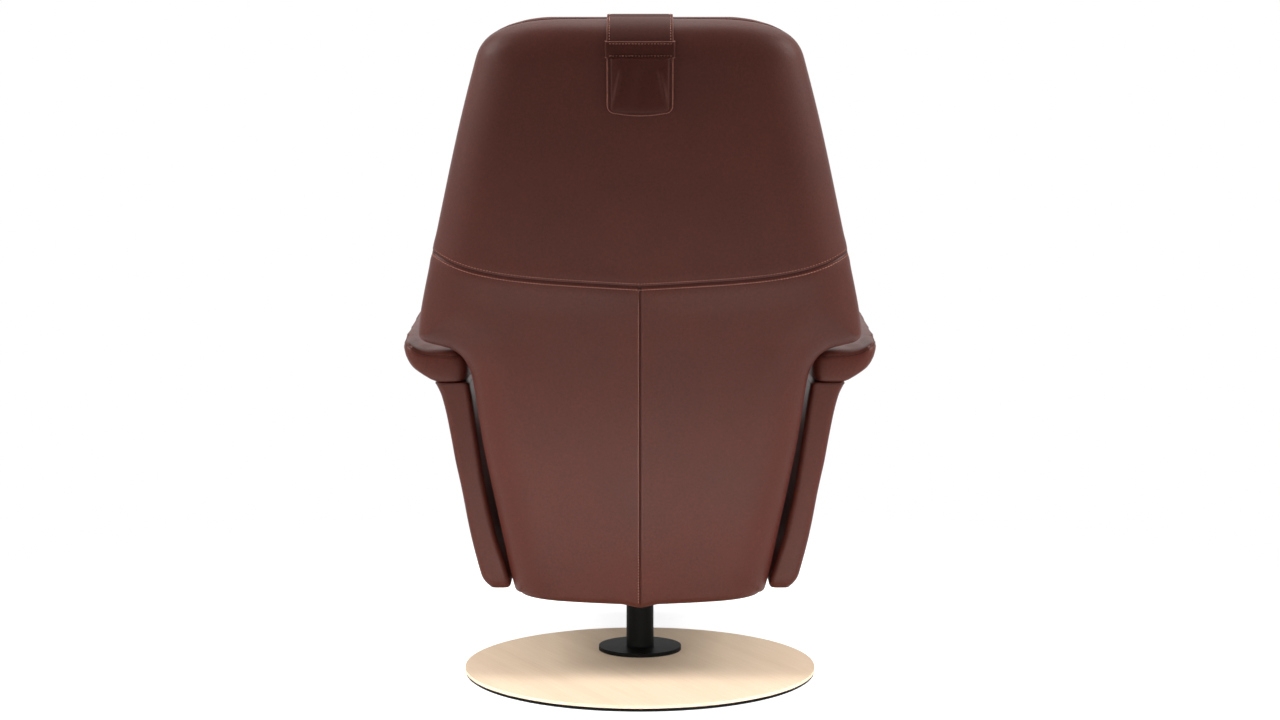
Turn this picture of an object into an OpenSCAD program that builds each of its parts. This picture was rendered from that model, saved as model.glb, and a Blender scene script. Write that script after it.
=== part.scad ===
// High-backed recliner chair on a swivel column and a round disc base.
// Millimetres, +Z up. The origin is on the floor, under the column. The chair faces -Y.

/* [Base] */
// Diameter of the disc base
disc_d = 600; // [540:10:680]
// How far the disc's centre lies behind the column
disc_setback = 120; // [60:10:140]
// Thickness of the veneered wooden disc
disc_t = 5; // [4:1:12]
// Thickness of the steel base plate
base_plate_t = 4; // [4:1:10]
// Diameter of the flange under the column
flange_d = 145; // [125:5:200]
// Thickness of the flange
flange_t = 7; // [6:1:12]
// Outer diameter of the column
column_d = 48; // [46:1:60]
// Height of the column above its flange
column_h = 100; // [90:5:140]

/* [Seat] */
// Height of the seat rails above the bearers
rail_rise = 190; // [180:5:210]
// Thickness of the seat cushion at its edge
cushion_t = 82; // [60:2:100]
// Crown of the seat cushion above its edge
cushion_crown = 14; // [6:2:24]
// Half the width across the wooden seat rails, which the frame, arms, back and leg rest follow
deck_half_w = 235; // [225:1:245]
// Distance of the seat's front edge from the column
seat_front = 345; // [330:5:350]
// Distance of the seat's rear edge from the column
seat_rear = 128; // [110:2:130]
// Thickness of the side plates
plate_t = 5; // [3:0.5:6]

/* [Back] */
// Height of the back shell, from its lowest edge to its top seam
back_h = 965; // [900:5:1040]
// Height of the shell's lowest edge above the floor
back_low = 141; // [135:1:160]
// Depth of the shell from its rim to its rear surface
shell_depth = 75; // [70:1:85]
// Thickness of the leather cover with its padding
cover_t = 6; // [4:0.5:8]
// Thickness of the moulded shell
shell_t = 10; // [6:0.5:12]
// Distance of the shell's rear surface behind the column, at the lowest edge
back_rear_low = 258; // [250:1:270]
// Thickness of the back cushion at the lumbar
lumbar_t = 108; // [90:2:110]
// Largest recline angle
recline_max = 30; // [20:1:32]

/* [Arms] */
// Height of the arm panel's top above the floor
arm_panel_top = 509.7; // [490:0.1:520]
// Thickness of the arm pad where it is highest
arm_pad_t = 71; // [60:1:80]
// Width of the arm pad at the rear
arm_pad_w = 108; // [100:1:120]
// How much wider the arm pad is at the front
arm_flare = 21; // [0:1:30]
// Distance of the arms' rear end behind the column
arm_rear = 224; // [200:1:226]
// Distance of the arms' front end ahead of the column
arm_front = 392; // [360:2:410]

/* [Leg rest] */
// Length of the leg rest below its hinge
leg_len = 228; // [200:2:232]
// Thickness of the leg rest's pad
leg_pad_t = 34; // [24:1:40]
// Largest angle of the leg rest
leg_max = 80; // [60:1:84]

/* [Neck cushion] */
// Width of the neck cushion
neck_w = 390; // [320:5:400]
// Height of the neck cushion
neck_h = 150; // [120:5:160]
// Thickness of the neck cushion
neck_t = 62; // [40:2:70]
// Width of the strap, its loop and its flap
strap_w = 103.6; // [80:0.2:120]
// Height of the weighted flap
flap_h = 92; // [80:1:100]
// Travel of the neck cushion along the back
neck_travel = 60; // [30:5:70]

/* [Hidden] */
$fn = 64;
cut = 1; // overrun of every cut
fit = 0.05; // radial running fit of pins and shafts
gap = 0.3; // seat gap between neighbouring pieces
side_gap = 1; // gap beside turning pieces

// Widths that follow the seat's, as shares of it
frame_share = 0.783;
wing_share = 1.5553;
panel_share = 1.451;
arms_share = 1.1787;
cushion_share = 1.0979;
leg_share = 0.9617;
frame_half_w = frame_share * deck_half_w;
wing_half_w = wing_share * deck_half_w;
panel_half_w = panel_share * deck_half_w;
arms_half_w = arms_share * deck_half_w;
cushion_half_w = cushion_share * deck_half_w;
leg_half_w = leg_share * deck_half_w;

// Base
felt_t = 2;
felt_inset = 4;
plate_inset = 1;
column_wall = 4;
bush_h = 20;
bush_lift = 14;
ring_t = 2;
spindle_d = 30;
thrust_t = 4;
hub_size = 180;
hub_t = 8;
flange_screw_d = 8;
flange_screw_circle_d = 112;
screw_head_d = 14;
screw_head_h = 3;
flange_screw_count = 6;
flange_screw_bite = 5;
felt_top = felt_t;
plate_top = felt_top + base_plate_t;
disc_top = plate_top + disc_t;
flange_top = disc_top + flange_t;
column_top = flange_top + column_h;
hub_low = column_top + thrust_t;
hub_top = hub_low + hub_t;
bush_low = flange_top + bush_lift;

// Seat frame
bearer_w = 40;
bearer_h = 25;
bearer_wall = 3;
bearer_y = 60;
hub_bolt_d = 8;
hub_bolt_x = 65;
bolt_head_h = 5;
bolt_head_d = 13;
nut_h = 6;
frame_z = hub_top + bearer_h;
arm_rail_t = 5;
rail_z = frame_z + arm_rail_t;
side_flange_w = 34;
web_low = rail_z + plate_t;
deck_z = frame_z + rail_rise;
frame_in = frame_half_w - plate_t;
plate_front_back = 10;
plate_rear_out = 2;
plate_front = seat_front - plate_front_back;
plate_rear = seat_rear + plate_rear_out;
seat_bolt_d = 8;
seat_bolt_inset = 20;
seat_bolt_x = frame_half_w - seat_bolt_inset;

// Hinges
hinge_pin_d = 12;
back_hinge_y = 222;
back_hinge_rise = 95;
back_hinge_z = frame_z + back_hinge_rise;
back_ear_r = 18;
leg_hinge_ahead = 15;
leg_hinge_y = -seat_front - leg_hinge_ahead;
leg_hinge_rise = 240;
leg_hinge_z = frame_z + leg_hinge_rise;
leg_ear_r = 12;
leg_pin_d = 10;
pin_head_h = 4;
pin_head_d = 18;
washer_t = 4;
ear_arm_h = 50;

// Cross bars of the seat frame
cross_t = 20;
cross_h = 30;
front_bar_back = 15;
front_bar_rise = 30;
rear_bar_ahead = 40;
mid_bar_y = -150;
front_bar_y = -plate_front + front_bar_back;
front_bar_z = web_low + front_bar_rise;
rear_bar_y = seat_rear - rear_bar_ahead;

// Actuators
motor_x = 60;
recline_lever_r = 38;
recline_lead = recline_max / 2;
leg_lever_r = 85;
leg_lead = leg_max / 2;
lever_t = 4;
lever_gap = 0.5;
lever_half_w = 9;
lever_pin_d = 10;
eye_t = 10;
rod_d = 18;
tube_d = 36;
eye_r = 11;
slot_spare = 2.2;
rod_end_gap = 2;
eye_wall = 4;
recline_pin_y = back_hinge_y + recline_lever_r * sin(recline_lead);
recline_pin_z = back_hinge_z - recline_lever_r * cos(recline_lead);
recline_pin_low = back_hinge_z - recline_lever_r;
leg_pin_y = leg_hinge_y + leg_lever_r * sin(leg_lead);
leg_pin_z = leg_hinge_z - leg_lever_r * cos(leg_lead);
leg_pin_low = leg_hinge_z - leg_lever_r;
recline_motor_z = (recline_pin_z + recline_pin_low) / 2;
leg_motor_z = (leg_pin_z + leg_pin_low) / 2;
recline_motor_len = 225;
leg_motor_len = 250;
recline_motor_ahead = 3;
recline_motor_rear = seat_rear - recline_motor_ahead;
leg_eye_y = rear_bar_y - cross_t / 2 - eye_r - side_gap;
leg_motor_rear = leg_eye_y - eye_r;
recline_eye_y = recline_motor_rear - recline_motor_len - eye_r;
motor_can_d = 42;
motor_can_len = 100;
gear_len = 46;
gear_half_w = 24;

// Service tray
tray_t = 2;
tray_len = 130;
tray_back = 5;
tray_y = front_bar_y + cross_t / 2 + tray_back;
battery_size = [120, 70, 62];
control_size = [104, 86, 36];
tray_gap = 20;

// Wooden seat rails and webbing
deck_t = 12;
deck_w = 60;
web_t = 2.5;
belt_w = 50;
belt_count = 5;
belt_step = 76;
belt_bite = 10;

// Back outline: share of the back's height against share of the wings' half width
back_shares = [
    [0.000, 0.566], [0.0435, 0.594], [0.110, 0.629], [0.276, 0.714], [0.396, 0.7606],
    [0.419, 0.785], [0.434, 0.815], [0.4456, 0.862], [0.4518, 0.919], [0.457, 0.971],
    [0.4653, 0.996], [0.4756, 1.000], [0.5295, 0.977], [0.633, 0.915], [0.834, 0.791],
    [1.000, 0.670]
];
// Rear surface on the centre line: share of the back's height against share of its lean
rear_shares = [
    [0, 0], [0.165, 0.165], [0.32, 0.292], [0.475, 0.416], [0.58, 0.54], [0.8, 0.802], [1, 1.04]
];
lean = 161;
top_corner_w = 150;
top_corner_h = 65;
top_corner_power = 2.8;
low_corner_w = 20;
low_corner_h = 22;
low_corner_power = 2;
edge_round = 50;
cross_curve = 30;
keel = 5;
low_edge_sag = 10;
seam_low_share = 0.557;
seam_rise = 55.5;
seam_bend_share = 0.35;
seam_bend_power = 5;
back_top = back_low + back_h;
// Where the rows and columns of the back's surfaces lie
low_row_shares = [
    0, 0.011, 0.028, 0.08, 0.19, 0.3, 0.385, 0.42, 0.438, 0.449, 0.456, 0.464, 0.482, 0.515
];
high_row_shares = [0, 0.18, 0.4, 0.6, 0.75, 0.86, 0.92, 0.955, 0.98, 0.994, 1];
flat_col_shares = [0, 0.4, 0.75];
round_col_shares = [1, 0.5, 0.17, 0.03, 0];
turn_steps = 12;
notch_shares = [0.4, 0.485];
normal_step = 0.4;

// Back frame
post_t = 6;
post_low = 35;
post_top_drop = 121;
post_top = back_top - post_top_drop;
post_steps = 14;
top_bar_d = 20;
top_bar_drop = 60;
belt_lift = 1;
back_belt_count = 6;
back_belt_rise = 75;
back_belt_step = 92;
recline_tube_d = 30;

// Back cushion
back_cushion_drop = 10;
back_cushion_low = deck_z - back_cushion_drop;
back_belt_low = back_cushion_low + back_belt_rise;
edge_t = 24;
edge_inset = 4;
top_proud = 5;
wing_clear_share = 0.8916;
wing_clear_z = arm_panel_top + wing_clear_share * arm_pad_t;
wing_step_share = 8;
wing_notch_h = 22;
front_round = 62;
front_curve = 20;
// Share of the back's height against share of the lumbar's thickness
thick_shares = [
    [0.201, 0.6], [0.2995, 0.84], [0.4342, 1], [0.5793, 0.88], [0.7, 0.75], [0.78, 0.72], [0.86, 0.72],
    [1.004, 0.72]
];

// Arm panels and pads
panel_lift = 9;
panel_low = frame_z + panel_lift;
// Share of the panel's height against share of the panels' half width, outside and inside
panel_outer_shares = [
    [0, 0.7566], [0.0636, 0.7874], [0.3066, 0.8416], [0.5785, 0.8959], [0.7347, 0.9229], [0.9343, 0.9707],
    [1, 1]
];
panel_inner_shares = [
    [0, 0.6276], [0.1388, 0.6716], [0.243, 0.7053], [0.4339, 0.7478], [0.5496, 0.7683], [0.7608, 0.7977],
    [0.9199, 0.8182], [1, 0.8328]
];
panel_rear_drop = 12;
panel_front_drop = 40;
panel_low_round = 5;
panel_power = 16;
arm_gap = 9;
pad_in = arms_half_w + arm_gap;
pad_low_gap = 0.3;
arm_fall = 8;
pad_shares = [
    [0.02, 0], [-0.01, 0.22], [-0.02, 0.48], [0.03, 0.70], [0.13, 0.785], [0.28, 0.795], [0.45, 0.785],
    [0.62, 0.785], [0.78, 0.83], [0.91, 0.94], [0.985, 1.0], [1.0, 0.8], [0.955, 0.55], [0.866, 0.34],
    [0.7, 0.17], [0.56, 0.05], [0.47, 0]
];
pad_end_shares = [
    [0, 0.45], [0.012, 0.72], [0.035, 0.89], [0.075, 0.975], [0.14, 1], [0.35, 1], [0.6, 1], [0.85, 1],
    [0.94, 0.98], [0.975, 0.92], [0.992, 0.82], [1, 0.66]
];
board_t = 12;
board_lean = 11.5;
board_low_share = 0.7155;
board_lift = 8;
board_top_drop = 30;
board_front_back = 62;
board_rear_ahead = 74;
board_step_h = 23;
board_low_x = board_low_share * panel_half_w;
board_low = panel_low + board_lift;
board_high = arm_panel_top - board_top_drop;
board_front = -arm_front + board_front_back;
board_rear = arm_rear - board_rear_ahead;
board_rise_rear = board_low + board_step_h;
arm_rail_rise = 62;
arm_rail_front = -260;
arm_rail_rear = 80;
pocket_gap = 0.4;

// Switch panel in the right arm
switch_y = -250;
switch_rise = 28;
switch_z = arm_panel_top + switch_rise;
switch_len = 78;
switch_h = 34;
switch_depth = 14;
switch_proud = 3;
button_len = 26;
button_h = 11;
button_proud = 2;
button_gap = 0.4;
button_depth = 8;
button_step_y = 34;
button_step_z = 15;
button_travel = 1.5;

// Leg rest
leg_board_t = 12;
leg_board_back = 13.5;
leg_tube_d = 20;
leg_bracket_w = 40;
leg_bracket_len = 170;
leg_bracket_x = 120;

// Neck cushion, strap and flap
strap_t = 2.5;
neck_low_share = 0.78;
strap_steps = 22;
loop_low_share = 0.9368;
loop_h = 26;
loop_wrap = 3;
flap_t = 12;
flap_corner_r = 12;
flap_sag = 4;
weight_size = [70, 50, 6];
strap_front_share = 0.86;
strap_rear_share = 0.86;
tail_up = 22;

// Colours
black = [0.07, 0.07, 0.07];
steel = [0.55, 0.56, 0.58];
oak = [0.85, 0.76, 0.64];
birch = [0.78, 0.66, 0.48];
leather = [0.38, 0.24, 0.21];
dark_leather = [0.30, 0.17, 0.14];
cloth = [0.30, 0.28, 0.26];
brass = [0.70, 0.58, 0.30];
plastic = [0.16, 0.16, 0.17];

// Plain arithmetic
function mix(a, b, t) = a + (b - a) * t;
function last(list) = list[len(list) - 1];
function sum(list, i = 0) = i == len(list) - 1 ? list[i] : list[i] + sum(list, i + 1);
function slope(table, i) =
    let (a = max(i - 1, 0), b = min(i + 1, len(table) - 1))
    (table[b][1] - table[a][1]) / (table[b][0] - table[a][0]);
function span(table, key, i = 0) =
    i >= len(table) - 2 || key < table[i + 1][0] ? i : span(table, key, i + 1);
// Value of a table at a key, on a smooth curve through its points
function smooth(table, key) =
    let (
        i = span(table, key),
        step = table[i + 1][0] - table[i][0],
        t = max(0, min(1, (key - table[i][0]) / step)),
        a = slope(table, i) * step,
        b = slope(table, i + 1) * step
    )
    table[i][1] * (1 - t) * (1 - t) * (1 + 2 * t) + a * t * (1 - t) * (1 - t)
    + table[i + 1][1] * t * t * (3 - 2 * t) - b * t * t * (1 - t);
function unit(v) = v / max(norm(v), fit * fit);
function distance_to_segment(p, a, b) =
    let (ab = b - a, t = max(0, min(1, ((p - a) * ab) / max(ab * ab, fit * fit))))
    norm(p - a - ab * t);

// Closed solid between two grids of points, the first seen from behind and the second in front
module slab(front, back) {
    rows = len(front);
    cols = len(front[0]);
    points = concat([for (row = front) each row], [for (row = back) each row]);
    shift = rows * cols;
    at = function (i, j) i * cols + j;
    quads = [
        for (i = [0:rows - 2], j = [0:cols - 2])
            each [
                [at(i, j), at(i, j + 1), at(i + 1, j + 1)],
                [at(i, j), at(i + 1, j + 1), at(i + 1, j)],
                [shift + at(i, j), shift + at(i + 1, j + 1), shift + at(i, j + 1)],
                [shift + at(i, j), shift + at(i + 1, j), shift + at(i + 1, j + 1)]
            ]
    ];
    ends = [
        for (i = [0:rows - 2], j = [0, cols - 1])
            let (a = at(i, j), b = at(i + 1, j), c = b + shift, d = a + shift)
                each j == 0 ? [[a, b, c], [a, c, d]] : [[a, c, b], [a, d, c]]
    ];
    sides = [
        for (j = [0:cols - 2], i = [0, rows - 1])
            let (a = at(i, j), b = at(i, j + 1), c = b + shift, d = a + shift)
                each i == 0 ? [[a, c, b], [a, d, c]] : [[a, b, c], [a, c, d]]
    ];
    polyhedron(points, concat(quads, ends, sides));
}

// Closed solid through a stack of rings of equally many points
module loft(rings) {
    n = len(rings[0]);
    m = len(rings);
    points = concat([for (ring = rings) each ring], [sum(rings[0]) / n, sum(last(rings)) / n]);
    walls = [
        for (k = [0:m - 2], i = [0:n - 1])
            let (a = k * n + i, b = k * n + (i + 1) % n, c = b + n, d = a + n)
                each [[a, c, b], [a, d, c]]
    ];
    low = [for (i = [0:n - 1]) [m * n, i, (i + 1) % n]];
    high = [for (i = [0:n - 1]) [m * n + 1, (m - 1) * n + (i + 1) % n, (m - 1) * n + i]];
    polyhedron(points, concat(walls, low, high));
}

// Closed solid through a stack of rings, with a pocket from its lowest ring upwards
module cup(rings, pocket) {
    n = len(rings[0]);
    m = len(rings);
    k = len(pocket);
    points = concat(
        [for (ring = rings) each ring], [for (ring = pocket) each ring],
        [sum(last(rings)) / n, sum(last(pocket)) / n]
    );
    next = function (i) (i + 1) % n;
    walls = [
        for (r = [0:m + k - 1], i = [0:n - 1])
            let (a = r * n + i, b = r * n + next(i), c = b + n, d = a + n, inside = r >= m)
            each r == m - 1 || r == m + k - 1 ? []
                : inside ? [[a, b, c], [a, c, d]]
                : [[a, c, b], [a, d, c]]
    ];
    mouth = [
        for (i = [0:n - 1])
            let (a = i, b = next(i), c = m * n + next(i), d = m * n + i)
            each [[a, b, c], [a, c, d]]
    ];
    top = [for (i = [0:n - 1]) [(m + k) * n, (m - 1) * n + next(i), (m - 1) * n + i]];
    roof = [for (i = [0:n - 1]) [(m + k) * n + 1, (m + k - 1) * n + i, (m + k - 1) * n + next(i)]];
    polyhedron(points, concat(walls, mouth, top, roof));
}

// Point of a rounded rectangle at an angle, from its half sizes and its corners' power
function squircle(a, half_x, half_y, power) =
    let (c = cos(a), s = sin(a))
    [half_x * sign(c) * pow(abs(c), 2 / power), half_y * sign(s) * pow(abs(s), 2 / power)];

module mirrored() {
    children();
    mirror([1, 0, 0]) children();
}

// Box from its lowest corner to its highest one
module block(low, high) translate(low) cube(high - low);

// Cylinder along X between two places
module rod_x(x0, x1, y, z, r) translate([x0, y, z]) rotate([0, 90, 0]) cylinder(h = x1 - x0, r = r);

// Cylinder along Y between two places
module rod_y(y0, y1, x, z, r) translate([x, y0, z]) rotate([-90, 0, 0]) cylinder(h = y1 - y0, r = r);

// Plate in the YZ plane, from x0 to x1
module plate_x(x0, x1, outline) translate([x0, 0, 0]) rotate([90, 0, 90])
    linear_extrude(x1 - x0) polygon(outline);

// Base and column
module base_felt() color(cloth) translate([0, disc_setback, 0]) difference() {
    cylinder(h = felt_t, d = disc_d - 2 * felt_inset, $fn = 128);
    flange_screw_places() translate([0, 0, -cut]) cylinder(h = felt_t + 2 * cut, d = screw_head_d);
}

// Places of the flange's screws, seen from the disc's centre
module flange_screw_places() translate([0, -disc_setback, 0])
    for (i = [0:flange_screw_count - 1]) rotate(i * 360 / flange_screw_count)
        translate([flange_screw_circle_d / 2, 0, 0]) children();

module base_plate() color(black) translate([0, disc_setback, 0]) difference() {
    translate([0, 0, felt_top]) cylinder(h = base_plate_t, d = disc_d - 2 * plate_inset, $fn = 128);
    flange_screw_places() {
        translate([0, 0, felt_top - cut]) cylinder(h = base_plate_t + 2 * cut, d = flange_screw_d + fit);
        translate([0, 0, felt_top - cut]) cylinder(h = screw_head_h + cut, d = screw_head_d);
    }
}

module base_disc() color(oak) translate([0, disc_setback, 0]) difference() {
    translate([0, 0, plate_top]) cylinder(h = disc_t, d = disc_d, $fn = 128);
    flange_screw_places() translate([0, 0, plate_top - cut])
        cylinder(h = disc_t + 2 * cut, d = flange_screw_d + fit);
}

module column() color(black) difference() {
    union() {
        translate([0, 0, disc_top]) cylinder(h = flange_t, d = flange_d);
        translate([0, 0, flange_top]) cylinder(h = column_h, d = column_d);
    }
    translate([0, 0, flange_top]) cylinder(h = column_h + cut, d = column_d - 2 * column_wall);
    translate([0, disc_setback, disc_top - cut]) flange_screw_places()
        cylinder(h = flange_screw_bite + cut, d = flange_screw_d);
}

module flange_screws() color(steel) translate([0, disc_setback, 0]) flange_screw_places() {
    translate([0, 0, felt_top]) cylinder(h = screw_head_h, d = screw_head_d - 2 * gap);
    translate([0, 0, felt_top])
        cylinder(h = disc_top + flange_screw_bite - gap - felt_top, d = flange_screw_d);
}

module bush(z) translate([0, 0, z]) difference() {
    cylinder(h = bush_h, d = column_d - 2 * column_wall);
    translate([0, 0, -cut]) cylinder(h = bush_h + 2 * cut, d = spindle_d + 2 * fit);
}

module column_bushes() color(brass) {
    bush(bush_low);
    bush(column_top - bush_h);
}

module retaining_ring() color(steel) translate([0, 0, bush_low - gap - ring_t]) difference() {
    cylinder(h = ring_t, d = spindle_d + 3 * ring_t);
    translate([0, 0, -cut]) cylinder(h = ring_t + 2 * cut, d = spindle_d);
}

module thrust_washer() color(brass) translate([0, 0, column_top]) difference() {
    cylinder(h = thrust_t, d = column_d + 2 * column_wall);
    translate([0, 0, -cut]) cylinder(h = thrust_t + 2 * cut, d = spindle_d + 2 * fit);
}

module spindle() color(steel) difference() {
    union() {
        spindle_low = bush_low - bush_lift + ring_t;
        translate([0, 0, spindle_low]) cylinder(h = hub_top - spindle_low, d = spindle_d);
        translate([-hub_size / 2, -hub_size / 2, hub_low]) cube([hub_size, hub_size, hub_t]);
    }
    hub_bolt_places() translate([0, 0, hub_low - cut]) cylinder(h = hub_t + 2 * cut, d = hub_bolt_d);
}

module hub_bolt_places() for (x = [-hub_bolt_x, hub_bolt_x], y = [-bearer_y, bearer_y])
    translate([x, y, 0]) children();

module hub_bolts() hub_bolt_places() {
    translate([0, 0, hub_low - bolt_head_h]) cylinder(h = bolt_head_h, d = bolt_head_d);
    translate([0, 0, hub_low - bolt_head_h])
        cylinder(h = bolt_head_h + hub_t + bearer_wall + nut_h, d = hub_bolt_d);
    translate([0, 0, hub_top + bearer_wall]) cylinder(h = nut_h, d = bolt_head_d);
}

// Seat frame
module bearer(y) color(black) difference() {
    block([-frame_half_w, y - bearer_w / 2, hub_top], [frame_half_w, y + bearer_w / 2, frame_z]);
    block(
        [-frame_half_w - cut, y - bearer_w / 2 + bearer_wall, hub_top + bearer_wall],
        [frame_half_w + cut, y + bearer_w / 2 - bearer_wall, frame_z - bearer_wall]
    );
    for (x = [-hub_bolt_x, hub_bolt_x]) translate([x, y, hub_top - cut])
        cylinder(h = bearer_wall + 2 * cut, d = hub_bolt_d);
    for (x = [-seat_bolt_x, seat_bolt_x]) translate([x, y, frame_z - bearer_wall - cut])
        cylinder(h = bearer_wall + 2 * cut, d = seat_bolt_d);
}

module bearers() {
    bearer(-bearer_y);
    bearer(bearer_y);
}

module seat_bolt_places() for (x = [-seat_bolt_x, seat_bolt_x], y = [-bearer_y, bearer_y])
    translate([x, y, 0]) children();

module seat_bolts() seat_bolt_places() {
    translate([0, 0, frame_z - bearer_wall - nut_h]) cylinder(h = nut_h, d = bolt_head_d);
    translate([0, 0, frame_z - bearer_wall - nut_h])
        cylinder(h = nut_h + bearer_wall + arm_rail_t + plate_t + bolt_head_h, d = seat_bolt_d);
    translate([0, 0, web_low]) cylinder(h = bolt_head_h, d = bolt_head_d);
}

module frame_bolts() color(steel) {
    hub_bolts();
    seat_bolts();
}

// Left side plate: a web that carries both hinges, and a flange that lies on the arm rail
module side_plate() color(steel) difference() {
    union() {
        plate_x(frame_in, frame_half_w, [
            [-plate_front, rail_z], [plate_rear, rail_z], [plate_rear, deck_z], [-plate_front, deck_z]
        ]);
        plate_x(frame_in, frame_half_w, [
            [plate_rear - cut, back_hinge_z - ear_arm_h], [back_hinge_y, back_hinge_z - back_ear_r],
            [back_hinge_y, back_hinge_z + back_ear_r], [plate_rear - cut, back_hinge_z + ear_arm_h]
        ]);
        rod_x(frame_in, frame_half_w, back_hinge_y, back_hinge_z, back_ear_r);
        plate_x(frame_in, frame_half_w, [
            [leg_hinge_y - leg_ear_r, leg_hinge_z], [leg_hinge_y - leg_ear_r, deck_z - ear_arm_h],
            [-plate_front + cut, deck_z - 2 * ear_arm_h], [-plate_front + cut, deck_z],
            [leg_hinge_y + leg_ear_r, deck_z], [leg_hinge_y + leg_ear_r, leg_hinge_z]
        ]);
        rod_x(frame_in, frame_half_w, leg_hinge_y, leg_hinge_z, leg_ear_r);
        block(
            [frame_half_w - side_flange_w, -plate_front, rail_z],
            [frame_in + cut, plate_rear, web_low]
        );
    }
    rod_x(frame_in - cut, frame_half_w + cut, back_hinge_y, back_hinge_z, hinge_pin_d / 2 + fit);
    rod_x(frame_in - cut, frame_half_w + cut, leg_hinge_y, leg_hinge_z, leg_pin_d / 2 + fit);
    seat_bolt_places() translate([0, 0, rail_z - cut]) cylinder(h = plate_t + 2 * cut, d = seat_bolt_d);
}

module side_plate_left() side_plate();

module side_plate_right() mirror([1, 0, 0]) side_plate();

// Place across the arm board at a height, from the board's middle plane
function board_x(z, off) = board_low_x + (z - board_low) * tan(board_lean) + off / cos(board_lean);

// Slab along the leaning board, between two heights and two offsets from its middle plane
module leaning_slab(z0, z1, off0, off1, y0, y1) translate([0, y1, 0]) rotate([90, 0, 0])
    linear_extrude(y1 - y0) polygon([
        [board_x(z0, off0), z0], [board_x(z0, off1), z0], [board_x(z1, off1), z1], [board_x(z1, off0), z1]
    ]);

module arm_rail() color(steel) difference() {
    union() {
        block(
            [frame_half_w - side_flange_w, arm_rail_front, frame_z],
            [board_x(rail_z, -board_t / 2 - arm_rail_t / 2), arm_rail_rear, rail_z]
        );
        leaning_slab(
            frame_z, board_low + arm_rail_rise, -board_t / 2 - arm_rail_t, -board_t / 2,
            arm_rail_front, arm_rail_rear
        );
    }
    seat_bolt_places() translate([0, 0, frame_z - cut]) cylinder(h = arm_rail_t + 2 * cut, d = seat_bolt_d);
}

module arm_rail_left() arm_rail();

module arm_rail_right() mirror([1, 0, 0]) arm_rail();

module cross_bar(y, z, h) color(steel)
    block([-frame_in, y - cross_t / 2, z - h / 2], [frame_in, y + cross_t / 2, z + h / 2]);

// Ears that hold an actuator's fixed end, from the cross bar's face to the eye
module actuator_ears(y_bar, y_eye, z) color(steel) for (side = [-1, 1]) difference() {
    x = side * (eye_t / 2 + lever_gap + lever_t / 2);
    union() {
        block(
            [x - lever_t / 2, min(y_bar, y_eye), z - eye_r],
            [x + lever_t / 2, max(y_bar, y_eye), z + eye_r]
        );
        rod_x(x - lever_t / 2, x + lever_t / 2, y_eye, z, eye_r);
    }
    rod_x(x - lever_t / 2 - cut, x + lever_t / 2 + cut, y_eye, z, lever_pin_d / 2);
}

module front_cross_bar() cross_bar(front_bar_y, front_bar_z, cross_h);

module middle_cross_bar() {
    cross_bar(mid_bar_y, recline_motor_z, cross_h);
    translate([-motor_x, 0, 0])
        actuator_ears(mid_bar_y + cross_t / 2 - cut, recline_eye_y, recline_motor_z);
}

module rear_cross_bar() {
    cross_bar(rear_bar_y, leg_motor_z, cross_h);
    translate([motor_x, 0, 0])
        actuator_ears(rear_bar_y - cross_t / 2 + cut, leg_eye_y, leg_motor_z);
}

// Wooden rails, webbing and cushion
module seat_rail_front() color(birch)
    block([-deck_half_w, -seat_front, deck_z], [deck_half_w, -seat_front + deck_w, deck_z + deck_t]);

module seat_rails() color(birch) {
    block([-deck_half_w, seat_rear - deck_w, deck_z], [deck_half_w, seat_rear, deck_z + deck_t]);
    mirrored() block(
        [deck_half_w - deck_w, -seat_front + deck_w + gap, deck_z],
        [deck_half_w, seat_rear - deck_w - gap, deck_z + deck_t]
    );
}

module seat_webbing() color(cloth) for (i = [0:belt_count - 1]) {
    x = (i - (belt_count - 1) / 2) * belt_step;
    block(
        [x - belt_w / 2, -seat_front + belt_bite, deck_z + deck_t],
        [x + belt_w / 2, seat_rear - belt_bite, deck_z + deck_t + web_t]
    );
}

// Share of the cushion's thickness, inset of its outline and share of its crown, ring by ring
seat_ring_shares = [
    [0, 0.50, 0], [0, 0.12, 0], [0.08, 0.02, 0], [0.3, 0.04, 0], [0.55, 0.075, 0], [0.78, 0.01, 0],
    [0.93, 0.0, 0], [1, 0.09, 0.12], [1, 0.3, 0.55], [1, 0.62, 0.88], [1, 0.85, 1]
];
seat_ring_inset = 130;
ring_count = 40;
seat_power = 7;
cushion_side_lean = 8;
cushion_low = deck_z + deck_t + web_t + gap;

module seat_cushion() color(leather) loft([
    for (ring = seat_ring_shares) [
        for (i = [0:ring_count - 1])
            let (
                half_x = cushion_half_w - cushion_side_lean * (1 - ring[0]) - ring[1] * seat_ring_inset,
                half_y = (seat_front + seat_rear) / 2 - ring[1] * seat_ring_inset,
                p = squircle(i * 360 / ring_count, half_x, half_y, seat_power)
            )
            [
                p[0], p[1] + (seat_rear - seat_front) / 2,
                cushion_low + ring[0] * cushion_t + ring[2] * cushion_crown
            ]
    ]
]);

// Arms
module arm_board() color(birch) difference() {
    leaning_slab(board_low, board_high, -board_t / 2, board_t / 2, board_front, board_rear);
    leaning_slab(
        board_low - cut, board_rise_rear, -board_t / 2 - cut, board_t / 2 + cut,
        arm_rail_rear + cut, board_rear + cut
    );
}

module arm_board_left() arm_board();

module arm_board_right() mirror([1, 0, 0]) arm_board();

panel_row_shares = [0, 0.025, 0.08, 0.2, 0.34, 0.5, 0.66, 0.8, 0.92, 1];
panel_count = 24;
function rim_y(z) = rear_y(z) - shell_depth;

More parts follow.
